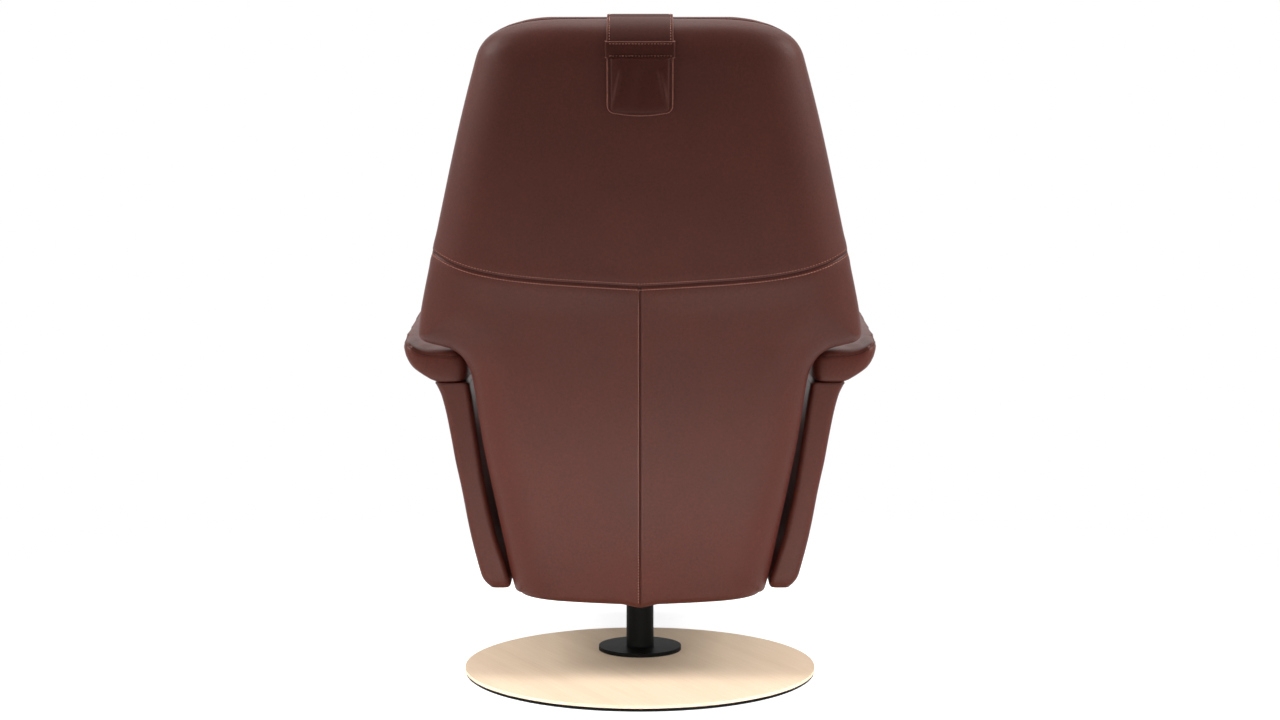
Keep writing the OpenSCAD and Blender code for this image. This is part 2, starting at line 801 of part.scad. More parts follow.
function panel_ring(t) =
    let (
        z = mix(panel_low, arm_panel_top, t),
        inset = panel_low_round * pow(1 - min(1, t / panel_row_shares[2]), 2),
        inner = panel_half_w * smooth(panel_inner_shares, t) + inset,
        outer = panel_half_w * smooth(panel_outer_shares, t) - inset,
        rear = arm_rear - panel_rear_drop * (1 - t) - inset,
        front = -arm_front + panel_front_drop + inset
    )
    [
        for (i = [0:panel_count - 1])
            let (p = squircle(i * 360 / panel_count, (outer - inner) / 2, (rear - front) / 2, panel_power))
            [(inner + outer) / 2 + p[0], (rear + front) / 2 + p[1], z]
    ];

// Ring of the pocket that holds the board and the arm rail's web, a point on each of its corners
function pocket_ring(z) =
    let (
        inner = board_x(z, -board_t / 2 - arm_rail_t - pocket_gap),
        outer = board_x(z, board_t / 2 + pocket_gap),
        front = board_front - pocket_gap,
        rear = board_rear + pocket_gap
    )
    [
        for (i = [0:panel_count - 1])
            let (c = cos(i * 360 / panel_count), s = sin(i * 360 / panel_count), far = max(abs(c), abs(s)))
            [mix(inner, outer, (1 + c / far) / 2), mix(front, rear, (1 + s / far) / 2), z]
    ];

module arm_panel() color(leather) cup(
    [for (t = panel_row_shares) panel_ring(t)],
    [pocket_ring(panel_low), pocket_ring(board_high + pocket_gap)]
);

module arm_panel_left() arm_panel();

module arm_panel_right() mirror([1, 0, 0]) arm_panel();

// Ring of the arm pad at a share of its length from the front
function pad_ring(end) =
    let (
        y = mix(-arm_front, arm_rear, end[0]),
        wide = arm_pad_w + arm_flare * (1 - end[0]),
        rise = arm_fall * (1 - end[0]),
        low = arm_panel_top + pad_low_gap,
        mid_x = pad_in + wide / 2,
        mid_z = low + arm_pad_t / 2
    )
    [
        for (p = pad_shares)
            let (x = pad_in + p[0] * wide, z = low + p[1] * (arm_pad_t + rise))
            [
                mid_x + (x - mid_x) * end[1], y,
                p[1] > 0 ? mid_z + (z - mid_z) * end[1] : z + arm_pad_t / 2 * (1 - end[1])
            ]
    ];

module arm_pad() loft([for (end = pad_end_shares) pad_ring(end)]);

module arm_pad_left() color(leather) arm_pad();

module arm_pad_right() color(leather) difference() {
    mirror([1, 0, 0]) arm_pad();
    block(
        [-pad_in - switch_depth, switch_y - switch_len / 2, switch_z - switch_h / 2],
        [-pad_in + arm_pad_w, switch_y + switch_len / 2, switch_z + switch_h / 2]
    );
}

// Actuators
module actuator_body(rear, length, z, eye_at, rod_way) difference() {
    front = rear - length;
    gear_y = rod_way > 0 ? front : rear - gear_len;
    can_y = rod_way > 0 ? front : rear - motor_can_len;
    eye_end = rod_way > 0 ? front : rear;
    union() {
        rod_y(front, rear, 0, z, tube_d / 2);
        block([-gear_half_w, gear_y, z - gear_half_w], [gear_half_w, gear_y + gear_len, z + gear_half_w]);
        translate([-gear_half_w - motor_can_d / 2, 0, 0])
            rod_y(can_y, can_y + motor_can_len, 0, z, motor_can_d / 2);
        block(
            [-eye_t / 2, min(eye_at, eye_end), z - eye_r],
            [eye_t / 2, max(eye_at, eye_end), z + eye_r]
        );
        rod_x(-eye_t / 2, eye_t / 2, eye_at, z, eye_r);
    }
    rod_x(-eye_t / 2 - cut, eye_t / 2 + cut, eye_at, z, lever_pin_d / 2);
    rod_y(
        rod_way > 0 ? front + gear_len : front - cut, rod_way > 0 ? rear + cut : rear - gear_len,
        0, z, rod_d / 2 + fit
    );
}

module recline_actuator() color(plastic) translate([-motor_x, 0, 0])
    actuator_body(recline_motor_rear, recline_motor_len, recline_motor_z, recline_eye_y, 1);

module leg_actuator() color(plastic) translate([motor_x, 0, 0])
    actuator_body(leg_motor_rear, leg_motor_len, leg_motor_z, leg_eye_y, -1);

module actuator_pins() color(steel) {
    half = eye_t / 2 + lever_gap + lever_t;
    rod_x(-motor_x - half, -motor_x + half, recline_eye_y, recline_motor_z, lever_pin_d / 2 - fit);
    rod_x(motor_x - half, motor_x + half, leg_eye_y, leg_motor_z, lever_pin_d / 2 - fit);
}

// Rod with a slotted end: the slot takes up the rise of the lever's pin
module slotted_rod(y_in, y_pin, z, rise, spare) difference() {
    toward = y_pin > y_in ? -1 : 1;
    union() {
        y_end = y_pin + toward * (eye_r + spare + rod_end_gap);
        y_tip = y_pin - toward * (eye_wall + lever_pin_d / 2 + spare);
        half_h = lever_pin_d / 2 + rise + eye_wall;
        rod_y(min(y_in, y_end), max(y_in, y_end), 0, z, rod_d / 2);
        block([-eye_t / 2, min(y_end, y_tip), z - half_h], [eye_t / 2, max(y_end, y_tip), z + half_h]);
    }
    block(
        [-eye_t / 2 - cut, y_pin - lever_pin_d / 2 - spare, z - lever_pin_d / 2 - rise],
        [eye_t / 2 + cut, y_pin + lever_pin_d / 2 + spare, z + lever_pin_d / 2 + rise]
    );
}

recline_slot_rise = (recline_pin_z - recline_pin_low) / 2 + gap;
leg_slot_rise = (leg_pin_z - leg_pin_low) / 2 + gap;
recline_rod_in = 120;
leg_rod_in = 130;
recline_rod_low = recline_motor_rear - recline_rod_in;
leg_rod_low = leg_motor_rear - leg_motor_len + leg_rod_in;

module recline_rod() color(steel) translate([-motor_x, 0, 0])
    slotted_rod(recline_rod_low, recline_pin_y, recline_motor_z, recline_slot_rise, gap);

module leg_rod() color(steel) translate([motor_x, 0, 0])
    slotted_rod(leg_rod_low, leg_pin_y, leg_motor_z, leg_slot_rise, slot_spare);

// Electrics
module service_tray() color(steel)
    block([-frame_in + gap, tray_y, web_low], [frame_in - gap, tray_y + tray_len, web_low + tray_t]);

module battery_pack() color(plastic)
    translate([tray_gap, tray_y + tray_gap, web_low + tray_t]) cube(battery_size);

module control_box() color(plastic)
    translate([-tray_gap - control_size[0], tray_y + tray_gap, web_low + tray_t]) cube(control_size);

module button_place(y, z)
    translate([0, switch_y + y * button_step_y / 2, switch_z + z * button_step_z / 2]) children();

module switch_panel() color(plastic) difference() {
    block(
        [-pad_in - switch_depth + gap, switch_y - switch_len / 2 + gap, switch_z - switch_h / 2 + gap],
        [-pad_in + switch_proud, switch_y + switch_len / 2 - gap, switch_z + switch_h / 2 - gap]
    );
    for (y = [-1, 1], z = [-1, 1]) button_place(y, z) block(
        [-pad_in + switch_proud - button_depth - button_travel - gap, -button_len / 2, -button_h / 2],
        [-pad_in + switch_proud + cut, button_len / 2, button_h / 2]
    );
}

module button(y, z) color(black) button_place(y, z) block(
    [-pad_in + switch_proud - button_depth, -button_len / 2 + button_gap, -button_h / 2 + button_gap],
    [-pad_in + switch_proud + button_proud, button_len / 2 - button_gap, button_h / 2 - button_gap]
);

module button_back_down() button(1, 1);

module button_back_up() button(1, -1);

module button_leg_up() button(-1, 1);

module button_leg_down() button(-1, -1);

// Back outline and surfaces
function corner(t, width, power) = width * (1 - pow(1 - pow(max(0, min(1, t)), power), 1 / power));
function half_w(z) =
    wing_half_w * smooth(back_shares, (z - back_low) / back_h)
    - corner((z - back_top + top_corner_h) / top_corner_h, top_corner_w, top_corner_power)
    - corner((back_low + low_edge_sag + low_corner_h - z) / low_corner_h, low_corner_w, low_corner_power);
function height_at(share) = back_low + share * back_h;
function rear_y(z) = back_rear_low + lean * smooth(rear_shares, (z - back_low) / back_h);

// Heights along an outline, close together at its corners and at the notch over the arms
function outline_heights(low, notch_low, notch_high, high) = concat(
    [for (i = [0:turn_steps - 1]) low + low_corner_h * (1 - cos(90 * i / turn_steps))],
    [for (i = [0:turn_steps - 1]) mix(low + low_corner_h, notch_low, i / turn_steps)],
    [for (i = [0:2 * turn_steps - 1]) mix(notch_low, notch_high, i / turn_steps / 2)],
    [for (i = [0:turn_steps - 1]) mix(notch_high, high - top_corner_h, i / turn_steps)],
    [for (i = [0:2 * turn_steps]) high - top_corner_h * (1 - sin(45 * i / turn_steps))]
);
outline_low = back_low + low_edge_sag;
notch_low = height_at(notch_shares[0]);
notch_high = height_at(notch_shares[1]);
back_outline = concat(
    [for (z = outline_heights(outline_low, notch_low, notch_high, back_top)) [half_w(z), z]],
    [[0, back_top]]
);

function edge_distances(outline, x, z) =
    [for (i = [0:len(outline) - 2]) distance_to_segment([abs(x), z], outline[i], outline[i + 1])];
function edge_distance(outline, x, z) = min(edge_distances(outline, x, z));
// Direction from the nearest stretch of the outline towards its inside
function inward(outline, x, z) =
    let (
        all = edge_distances(outline, x, z),
        i = search(min(all), all)[0],
        along = unit(outline[i + 1] - outline[i])
    )
    [-along[1] * (x < 0 ? -1 : 1), along[0]];
// Share of the rounding that a place near the edge takes: 1 at the edge, 0 inside it
function roll(d, round_r) = 1 - sqrt(1 - pow(1 - min(1, d / round_r), 2));

// Point on the shell's outer face
function shell_point(x, z) =
    let (
        d = edge_distance(back_outline, x, z),
        curve = cross_curve * pow(x / wing_half_w, 2),
        s = min(1, abs(x) / half_w(z)),
        keel_share = max(0, min(1, (seam_z(s) - z) / edge_round)),
        hollow = 4 * keel * s * (1 - s) * keel_share
    )
    [x, rear_y(z) - curve - (shell_depth - curve) * roll(d, edge_round) - hollow, z];

// Outward normal of the shell's outer face
function shell_normal(x, z) =
    let (
        t = min(1, edge_distance(back_outline, x, z) / edge_round),
        flat = sqrt(1 - pow(1 - t, 2)),
        curve = cross_curve * pow(x / wing_half_w, 2),
        steep = (shell_depth - curve) / edge_round * (1 - t),
        into = inward(back_outline, x, z),
        lean_slope = (rear_y(z + normal_step) - rear_y(z - normal_step)) / (2 * normal_step),
        cross_slope = -2 * cross_curve * x / pow(wing_half_w, 2)
    )
    unit([-cross_slope * flat - into[0] * steep, flat, -lean_slope * flat - into[1] * steep]);

function low_z(s) = back_low + low_edge_sag * s * s;
function seam_z(s) =
    back_low + seam_low_share * back_h
    + seam_rise * (seam_bend_share * s + (1 - seam_bend_share) * pow(s, seam_bend_power));

// Places across half the width at a height, from the centre to the edge
function half_cols(z) =
    let (inner = half_w(z) - edge_round)
    concat(
        [for (share = flat_col_shares) share * inner],
        [for (share = round_col_shares) half_w(z) - share * edge_round]
    );
function row_z(i, s) =
    let (last_low = len(low_row_shares) - 1, z = back_low + low_row_shares[min(i, last_low)] * back_h)
    i > last_low ? seam_z(s) : max(low_z(s), z);
function high_z(i, s) = mix(seam_z(s), back_top, high_row_shares[i]);

// Grid of points on the shell's face: rows upwards, columns from x0 side to x1 side
function col_count() = len(flat_col_shares) + len(round_col_shares);
function col_share(j) =
    let (z = back_low + seam_low_share * back_h, cols = half_cols(z)) cols[abs(j)] / half_w(z);
function signed_col(z, j) = sign(j) * half_cols(z)[abs(j)];
function grid(row_count, j0, j1, height) = [
    for (i = [0:row_count - 1]) [
        for (j = [j0:j1]) let (z = height(i, col_share(j))) shell_point(signed_col(z, j), z)
    ]
];
function low_grid(j0, j1) = grid(len(low_row_shares) + 1, j0, j1, function (i, s) row_z(i, s));
function high_grid(j0, j1) = grid(len(high_row_shares), j0, j1, function (i, s) high_z(i, s));

function inset_grid(g, depth) = [for (row = g) [for (p = row) p - depth * shell_normal(p[0], p[2])]];

last_col = col_count() - 1;

module back_cover_upper() color(leather) {
    g = high_grid(-last_col, last_col);
    slab(g, inset_grid(g, cover_t));
}

module back_cover_lower_left() color(leather) {
    g = low_grid(0, last_col);
    slab(g, inset_grid(g, cover_t));
}

module back_cover_lower_right() color(leather) {
    g = low_grid(-last_col, 0);
    slab(g, inset_grid(g, cover_t));
}

module back_shell() color(cloth) {
    low = low_grid(-last_col, last_col);
    high = high_grid(-last_col, last_col);
    whole = concat(low, [for (i = [1:len(high) - 1]) high[i]]);
    slab(inset_grid(whole, cover_t + gap), inset_grid(whole, cover_t + gap + shell_t));
}

// Back frame
inner_depth = cover_t + gap + shell_t + side_gap;
post_out = frame_in - washer_t - side_gap;
post_in = post_out - post_t;

module back_post() color(steel) difference() {
    heights = [for (i = [0:post_steps]) mix(back_hinge_z - post_low, post_top, i / post_steps)];
    curve = cross_curve * pow(post_out / wing_half_w, 2);
    plate_x(post_in, post_out, concat(
        [for (z = heights) [rim_y(z), z]],
        [for (i = [post_steps:-1:0]) [rear_y(heights[i]) - curve - keel - inner_depth, heights[i]]]
    ));
    rod_x(post_in - cut, post_out + cut, back_hinge_y, back_hinge_z, hinge_pin_d / 2);
}

module back_post_left() back_post();

module back_post_right() mirror([1, 0, 0]) back_post();

module back_top_bar() color(steel)
    translate([0, rim_y(post_top - top_bar_drop) + top_bar_d, post_top - top_bar_drop])
        rod_x(-post_in, post_in, 0, 0, top_bar_d / 2);

module back_webbing() color(cloth) for (i = [0:back_belt_count - 1]) {
    z = back_belt_low + i * back_belt_step;
    tilt = atan((rim_y(z + belt_w / 2) - rim_y(z - belt_w / 2)) / belt_w);
    translate([0, rim_y(z) + belt_lift, z]) rotate([-tilt, 0, 0])
        block([-post_in, 0, -belt_w / 2], [post_in, web_t, belt_w / 2]);
}

module back_hinge_pins() color(steel) mirrored() {
    rod_x(post_in - washer_t, frame_half_w + side_gap, back_hinge_y, back_hinge_z, hinge_pin_d / 2);
    translate([frame_half_w + side_gap, 0, 0])
        rod_x(0, pin_head_h, back_hinge_y, back_hinge_z, pin_head_d / 2);
    rod_x(post_out, post_out + washer_t, back_hinge_y, back_hinge_z, pin_head_d / 2);
}

// Pair of lever plates from a hinge tube to the pin of an actuator, straight or bent under the seat
module lever_plates(hinge_y, hinge_z, pin_y, pin_z, bent) for (side = [-1, 1]) {
    x = side * (eye_t / 2 + lever_gap + lever_t / 2);
    outline = bent ? [
        [hinge_y - lever_half_w, hinge_z], [hinge_y - lever_half_w, pin_z - eye_r], [pin_y, pin_z - eye_r],
        [pin_y, pin_z + eye_r], [hinge_y + lever_half_w, pin_z + eye_r], [hinge_y + lever_half_w, hinge_z]
    ] : [
        [hinge_y - lever_half_w, hinge_z], [pin_y - lever_half_w, pin_z],
        [pin_y + lever_half_w, pin_z], [hinge_y + lever_half_w, hinge_z]
    ];
    plate_x(x - lever_t / 2, x + lever_t / 2, outline);
    rod_x(x - lever_t / 2, x + lever_t / 2, pin_y, pin_z, eye_r);
}

module lever_pin(x, y, z) {
    half = eye_t / 2 + lever_gap + lever_t;
    rod_x(x - half, x + half, y, z, lever_pin_d / 2);
}

module recline_tube() color(steel) difference() {
    union() {
        rod_x(-post_in, post_in, back_hinge_y, back_hinge_z, recline_tube_d / 2);
        translate([-motor_x, 0, 0])
            lever_plates(back_hinge_y, back_hinge_z, recline_pin_y, recline_pin_z, false);
        lever_pin(-motor_x, recline_pin_y, recline_pin_z);
    }
    mirrored() rod_x(post_in - washer_t, post_in + cut, back_hinge_y, back_hinge_z, hinge_pin_d / 2);
}

// Back cushion
function cushion_half(z) =
    min(
        half_w(min(z, back_top - edge_inset)) - edge_inset,
        arms_half_w + max(0, z - wing_clear_z) * wing_step_share
    );
function thick_at(z) = lumbar_t * smooth(thick_shares, (z - back_low) / back_h);
function cushion_front_y(x, z, d) =
    let (
        thick = thick_at(z),
        curve = front_curve * pow(x / wing_half_w, 2)
    )
    rim_y(z) - thick + curve + (thick - curve - edge_t) * roll(d, front_round);
cushion_top = back_top + top_proud;
function cushion_z(t) = mix(back_cushion_low, cushion_top, t);
function cushion_half_top(z) = cushion_half(z - top_proud);
wing_low = wing_clear_z - wing_notch_h;
wing_high = wing_clear_z + wing_notch_h;
cushion_outline = concat(
    [[0, back_cushion_low]],
    [
        for (z = outline_heights(back_cushion_low, wing_low, wing_high, cushion_top))
            [cushion_half_top(z), z]
    ],
    [[0, cushion_top]]
);
cushion_row_shares = [
    0, 0.02, 0.06, 0.15, 0.25, 0.292, 0.306, 0.312, 0.32, 0.34, 0.42, 0.54, 0.68, 0.8, 0.89, 0.94, 0.97,
    0.988, 1
];
cushion_col_shares = [0, 0.35, 0.65, 0.85, 0.93, 0.975, 0.995, 1];

function cushion_row(z, point) = [
    for (j = [-len(cushion_col_shares) + 1:len(cushion_col_shares) - 1])
        point(sign(j) * cushion_col_shares[abs(j)] * cushion_half_top(z), z)
];

module back_cushion() color(leather) {
    rows = [for (t = cushion_row_shares) cushion_z(t)];
    face = function (x, z) cushion_front_y(x, z, edge_distance(cushion_outline, x, z));
    front = [for (z = rows) cushion_row(z, function (x, z) [x, face(x, z), z])];
    rear = [for (z = rows) cushion_row(z, function (x, z) [x, rim_y(min(z, back_top)) - gap, z])];
    slab(rear, front);
}

// Neck cushion, strap and flap
neck_low = back_low + neck_low_share * back_h;
neck_lean = atan((rim_y(neck_low + neck_h) - rim_y(neck_low)) / neck_h);
neck_mid_z = neck_low + neck_h / 2;
neck_spare = 0.5;
neck_gap = strap_t + 2 * gap + neck_spare;
// Share of the neck cushion's thickness, inset of its outline and share of the back's curve, ring by ring
neck_ring_shares = [
    [0, 0.45, 0], [0, 0.16, 1], [0.1, 0.03, 1], [0.28, 0, 1], [0.5, 0.02, 1], [0.72, 0.1, 1],
    [0.88, 0.26, 1], [0.97, 0.5, 1], [1, 0.78, 1]
];
neck_count = 32;
neck_power = 4;

module neck_cushion() color(leather) {
    base_y = rim_y(neck_mid_z) - thick_at(neck_mid_z);
    loft([
        for (ring = neck_ring_shares) [
            for (i = [0:neck_count - 1])
                let (
                    inset = ring[1] * neck_h / 2,
                    a = i * 360 / neck_count,
                    p = squircle(a, neck_w / 2 - inset, neck_h / 2 - inset, neck_power),
                    curve = ring[2] * front_curve * pow(p[0] / wing_half_w, 2),
                    off = curve - neck_gap - ring[0] * neck_t
                )
                [p[0], base_y + off + p[1] * tan(neck_lean), neck_mid_z + p[1]]
        ]
    ]);
}

function ease(t) = 1 - pow(1 - t, 2);
// Line that a strap follows on the centre, at a height above the surface, from the front over to the rear
function strap_front_point(z, off) =
    let (
        d = edge_distance(cushion_outline, 0, z),
        z1 = z + normal_step,
        p = [cushion_front_y(0, z, d), z],
        q = [cushion_front_y(0, z1, edge_distance(cushion_outline, 0, min(z1, cushion_top))), z1],
        n = unit([-(q[1] - p[1]), q[0] - p[0]])
    )
    p + off * n;
function strap_rear_point(z, off) =
    let (
        p = [shell_point(0, z)[1], z],
        q = [shell_point(0, z - normal_step)[1], z - normal_step],
        n = unit([-(q[1] - p[1]), q[0] - p[0]])
    )
    p + off * n;
function strap_line(off) =
    let (
        z0 = back_low + strap_front_share * back_h,
        z1 = back_low + strap_rear_share * back_h
    )
    concat(
        [
            for (i = [0:strap_steps])
                strap_front_point(mix(z0, cushion_top - gap, ease(i / strap_steps)), off)
        ],
        [[rim_y(back_top) - edge_t, cushion_top + off], [rim_y(back_top), cushion_top + off]],
        [
            for (i = [strap_steps:-1:0])
                strap_rear_point(mix(z1, back_top - gap, ease(i / strap_steps)), off)
        ]
    );

module neck_strap() color(dark_leather) {
    inner = strap_line(gap);
    outer = strap_line(gap + strap_t);
    plate_x(-strap_w / 2, strap_w / 2, concat(outer, [for (i = [len(inner) - 1:-1:0]) inner[i]]));
}

// Straight part of the rear, where the flap slides: a frame on the shell's centre line
loop_low = back_low + loop_low_share * back_h;
flap_low = loop_low - flap_h;
slide_lean = atan((rear_y(loop_low) - rear_y(flap_low - neck_travel)) / (flap_h + neck_travel));
module on_slide(z) translate([0, rear_y(loop_low) + (z - loop_low) * tan(slide_lean), z])
    rotate([-slide_lean, 0, 0]) children();

tail_off = 2 * gap + strap_t;
module strap_flap() color(dark_leather) on_slide(loop_low) {
    translate([0, tail_off, 0]) block([-strap_w / 2, 0, -flap_h / 2], [strap_w / 2, strap_t, tail_up]);
    translate([0, tail_off + strap_t, 0]) rotate([-90, 0, 0]) difference() {
        linear_extrude(flap_t - strap_t) polygon(flap_outline);
        weight_block(0);
    }
}

// Block of the weight in the flap, or its pocket, from the spare around it
module weight_block(spare) {
    low = [-weight_size[0], flap_h - weight_size[1], flap_t - strap_t - weight_size[2]] / 2;
    translate(low + [spare, spare, spare]) cube(weight_size - 2 * [spare, spare, spare]);
}

flap_steps = 6;
flap_outline = concat(
    [[-strap_w / 2, 0], [strap_w / 2, 0]],
    [for (i = [0:flap_steps]) flap_corner(90 * i / flap_steps)],
    [[0, flap_h]],
    [for (i = [flap_steps:-1:0]) let (p = flap_corner(90 * i / flap_steps)) [-p[0], p[1]]]
);
function flap_corner(a) =
    [strap_w / 2 - flap_corner_r * (1 - cos(a)), flap_h - flap_sag - flap_corner_r * (1 - sin(a))];

module flap_weight() color(steel) on_slide(loop_low)
    translate([0, tail_off + strap_t, 0]) rotate([-90, 0, 0]) weight_block(gap / 2);

module strap_loop() color(dark_leather) on_slide(loop_low) {
    out = tail_off + strap_t + gap;
    half = strap_w / 2 + loop_wrap;
    inner = strap_w / 2 + gap;
    linear_extrude(loop_h) polygon([
        [-half, gap], [-inner, gap], [-inner, out], [inner, out],
        [inner, gap], [half, gap], [half, out + strap_t], [-half, out + strap_t]
    ]);
}

// Leg rest
module leg_rest_frame() color(steel) {
    tube_half = frame_in - side_gap;
    difference() {
        union() {
            rod_x(-tube_half, tube_half, leg_hinge_y, leg_hinge_z, leg_tube_d / 2);
            mirrored() translate([leg_bracket_x, leg_hinge_y, leg_hinge_z]) block(
                [-leg_bracket_w / 2, -leg_board_back, -leg_bracket_len],
                [leg_bracket_w / 2, -leg_tube_d / 2 + side_gap, side_gap]
            );
            translate([motor_x, 0, 0]) lever_plates(leg_hinge_y, leg_hinge_z, leg_pin_y, leg_pin_z, true);
            lever_pin(motor_x, leg_pin_y, leg_pin_z);
        }
        mirrored() rod_x(tube_half - washer_t, tube_half + cut, leg_hinge_y, leg_hinge_z, leg_pin_d / 2);
    }
    mirrored() {
        rod_x(tube_half - washer_t, frame_half_w + side_gap, leg_hinge_y, leg_hinge_z, leg_pin_d / 2);
        rod_x(
            frame_half_w + side_gap, frame_half_w + side_gap + pin_head_h / 2,
            leg_hinge_y, leg_hinge_z, leg_ear_r - side_gap
        );
    }
}

board_front_y = leg_hinge_y - leg_board_back - leg_board_t;
module leg_rest_board() color(birch) block(
    [-leg_half_w + leg_board_t, board_front_y, leg_hinge_z - leg_len + leg_board_t],
    [leg_half_w - leg_board_t, leg_hinge_y - leg_board_back, leg_hinge_z]
);

leg_ring_shares = [
    [0, 0.5], [0, 0.1], [0.1, 0.02], [0.35, 0.03], [0.62, 0.0], [0.84, 0.06], [0.96, 0.2], [1, 0.5]
];
leg_ring_inset = 70;
leg_count = 32;
leg_power = 7;
module leg_rest_pad() color(leather) loft([
    for (ring = leg_ring_shares) [
        for (i = [0:leg_count - 1])
            let (
                inset = ring[1] * leg_ring_inset,
                p = squircle(i * 360 / leg_count, leg_half_w - inset, leg_len / 2 - inset, leg_power)
            )
            [p[0], board_front_y - gap - ring[0] * leg_pad_t, leg_hinge_z - leg_len / 2 + p[1]]
    ]
]);

base_felt();
base_plate();
base_disc();
column();
flange_screws();
column_bushes();
retaining_ring();
thrust_washer();
spindle();
frame_bolts();
bearers();
side_plate_left();
side_plate_right();
arm_rail_left();
arm_rail_right();
front_cross_bar();
middle_cross_bar();
rear_cross_bar();
seat_rail_front();
seat_rails();
seat_webbing();
seat_cushion();
arm_board_left();
arm_board_right();
arm_panel_left();
arm_panel_right();
arm_pad_left();
arm_pad_right();
recline_actuator();
leg_actuator();
actuator_pins();
recline_rod();
leg_rod();
service_tray();
battery_pack();
control_box();
switch_panel();
button_back_up();
button_back_down();
button_leg_up();
button_leg_down();
recline_tube();
back_post_left();
back_post_right();
back_top_bar();
back_webbing();
back_hinge_pins();
back_shell();
back_cover_upper();
back_cover_lower_left();
back_cover_lower_right();
back_cushion();
neck_strap();
strap_loop();
strap_flap();
flap_weight();
neck_cushion();
leg_rest_frame();
leg_rest_board();
leg_rest_pad();
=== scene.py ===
import math

import bmesh
import bpy
import numpy as np
from mathutils import Matrix, Vector
from mathutils.kdtree import KDTree


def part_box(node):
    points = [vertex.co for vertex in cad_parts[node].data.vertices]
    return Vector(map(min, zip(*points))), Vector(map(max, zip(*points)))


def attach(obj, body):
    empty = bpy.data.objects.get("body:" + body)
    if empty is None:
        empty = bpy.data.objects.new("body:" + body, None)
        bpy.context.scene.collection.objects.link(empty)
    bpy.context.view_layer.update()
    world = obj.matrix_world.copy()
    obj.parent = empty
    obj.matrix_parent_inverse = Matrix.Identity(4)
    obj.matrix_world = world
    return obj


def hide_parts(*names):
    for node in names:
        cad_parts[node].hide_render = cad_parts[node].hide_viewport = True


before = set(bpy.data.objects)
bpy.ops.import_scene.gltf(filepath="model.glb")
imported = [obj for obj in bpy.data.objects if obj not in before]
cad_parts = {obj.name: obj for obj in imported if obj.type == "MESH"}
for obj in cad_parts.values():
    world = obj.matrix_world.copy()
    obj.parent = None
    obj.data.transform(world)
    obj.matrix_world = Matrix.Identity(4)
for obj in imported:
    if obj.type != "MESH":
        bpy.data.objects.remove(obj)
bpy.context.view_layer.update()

bl_info = {
    "name": "Recliner chair",
    "version": (1, 0, 0),
    "blender": (4, 5, 0),
    "location": "3D View > Sidebar > Chair",
    "description": "Dresses a recliner chair in leather, oak and steel, and lights it for a studio picture",
    "category": "Object",
}

UNIT = 0.001  # metres in one millimetre; every size below is in millimetres


# Sizes from the frame

def node_box(name):
    """Lowest and highest corner of a CAD node, in millimetres."""
    low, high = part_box(name)
    return np.array(low) / UNIT, np.array(high) / UNIT


SEAT_BOX = node_box("seat_cushion")
LEG_BOX = node_box("leg_rest_pad")
NECK_BOX = node_box("neck_cushion")
PAD_BOX = node_box("arm_pad_left")
PANEL_BOX = node_box("arm_panel_left")
FLAP_BOX = node_box("strap_flap")
LOOP_BOX = node_box("strap_loop")
STRAP_BOX = node_box("neck_strap")
SWITCH_BOX = node_box("switch_panel")

# Back: the same outline and surfaces as the CAD solids, from the frame's heights and widths
BACK_LOW = node_box("back_cover_lower_left")[0][2]
BACK_TOP = node_box("back_cover_upper")[1][2]
BACK_H = BACK_TOP - BACK_LOW
WING_HALF_W = node_box("back_cover_lower_left")[1][0]
CUSHION_LOW = node_box("back_cushion")[0][2]
CUSHION_TOP = node_box("back_cushion")[1][2]
SHELL_DEPTH = 75
COVER_SKIN = 2.2
REAR_LOW_Y = 258
LEAN = 161
LUMBAR_T = 108
CROSS_CURVE = 30
KEEL = 5
EDGE_ROUND = 50
TOP_CORNER = (150, 65, 2.8)
LOW_CORNER = (8, 10, 2)
LOW_EDGE_SAG = 10
HEM_POINT = 5.5
HEM_POINT_SHARE = 0.15
SEAM_LOW_SHARE = 0.557
SEAM_RISE = 55.5
SEAM_BEND_SHARE = 0.35
SEAM_BEND_POWER = 5
# Rough heights of the panels, which set how fine the rows beside a seam or hem are
UPPER_H = 428
LOWER_H = 560
LOWER_SIDE_H = 540
BACK_SHARES = (
    (0.000, 0.566), (0.0435, 0.594), (0.110, 0.629), (0.276, 0.714), (0.396, 0.7606),
    (0.419, 0.785), (0.434, 0.815), (0.4456, 0.862), (0.4518, 0.919), (0.457, 0.971),
    (0.4653, 0.996), (0.4756, 1.000), (0.5295, 0.977), (0.633, 0.915), (0.834, 0.791),
    (1.000, 0.670),
)
REAR_SHARES = (
    (0, 0), (0.165, 0.165), (0.32, 0.292), (0.475, 0.416), (0.58, 0.54), (0.8, 0.802), (1, 1.04),
)
THICK_SHARES = (
    (0.201, 0.6), (0.2995, 0.84), (0.4342, 1), (0.5793, 0.88), (0.7, 0.75), (0.78, 0.72), (0.86, 0.72),
    (1.004, 0.72),
)
HEM_ROUND = 9
SOFT_ROUND = 78
SOFT_POWER = 2.4
EDGE_T = 24
EDGE_INSET = 4
TOP_PROUD = CUSHION_TOP - BACK_TOP
ARMS_HALF_W = 277
ARM_PAD_T = 71
PAD_WIDEST_SHARE = 0.8916
WING_CLEAR_Z = PANEL_BOX[1][2] + PAD_WIDEST_SHARE * ARM_PAD_T
WING_STEP_SHARE = 8
FRONT_ROUND = 62
FRONT_CURVE = 20
STITCH_PITCH = 5.0
STITCH_L = 3.4
STITCH_SIDE = 4.5


# Plain arithmetic

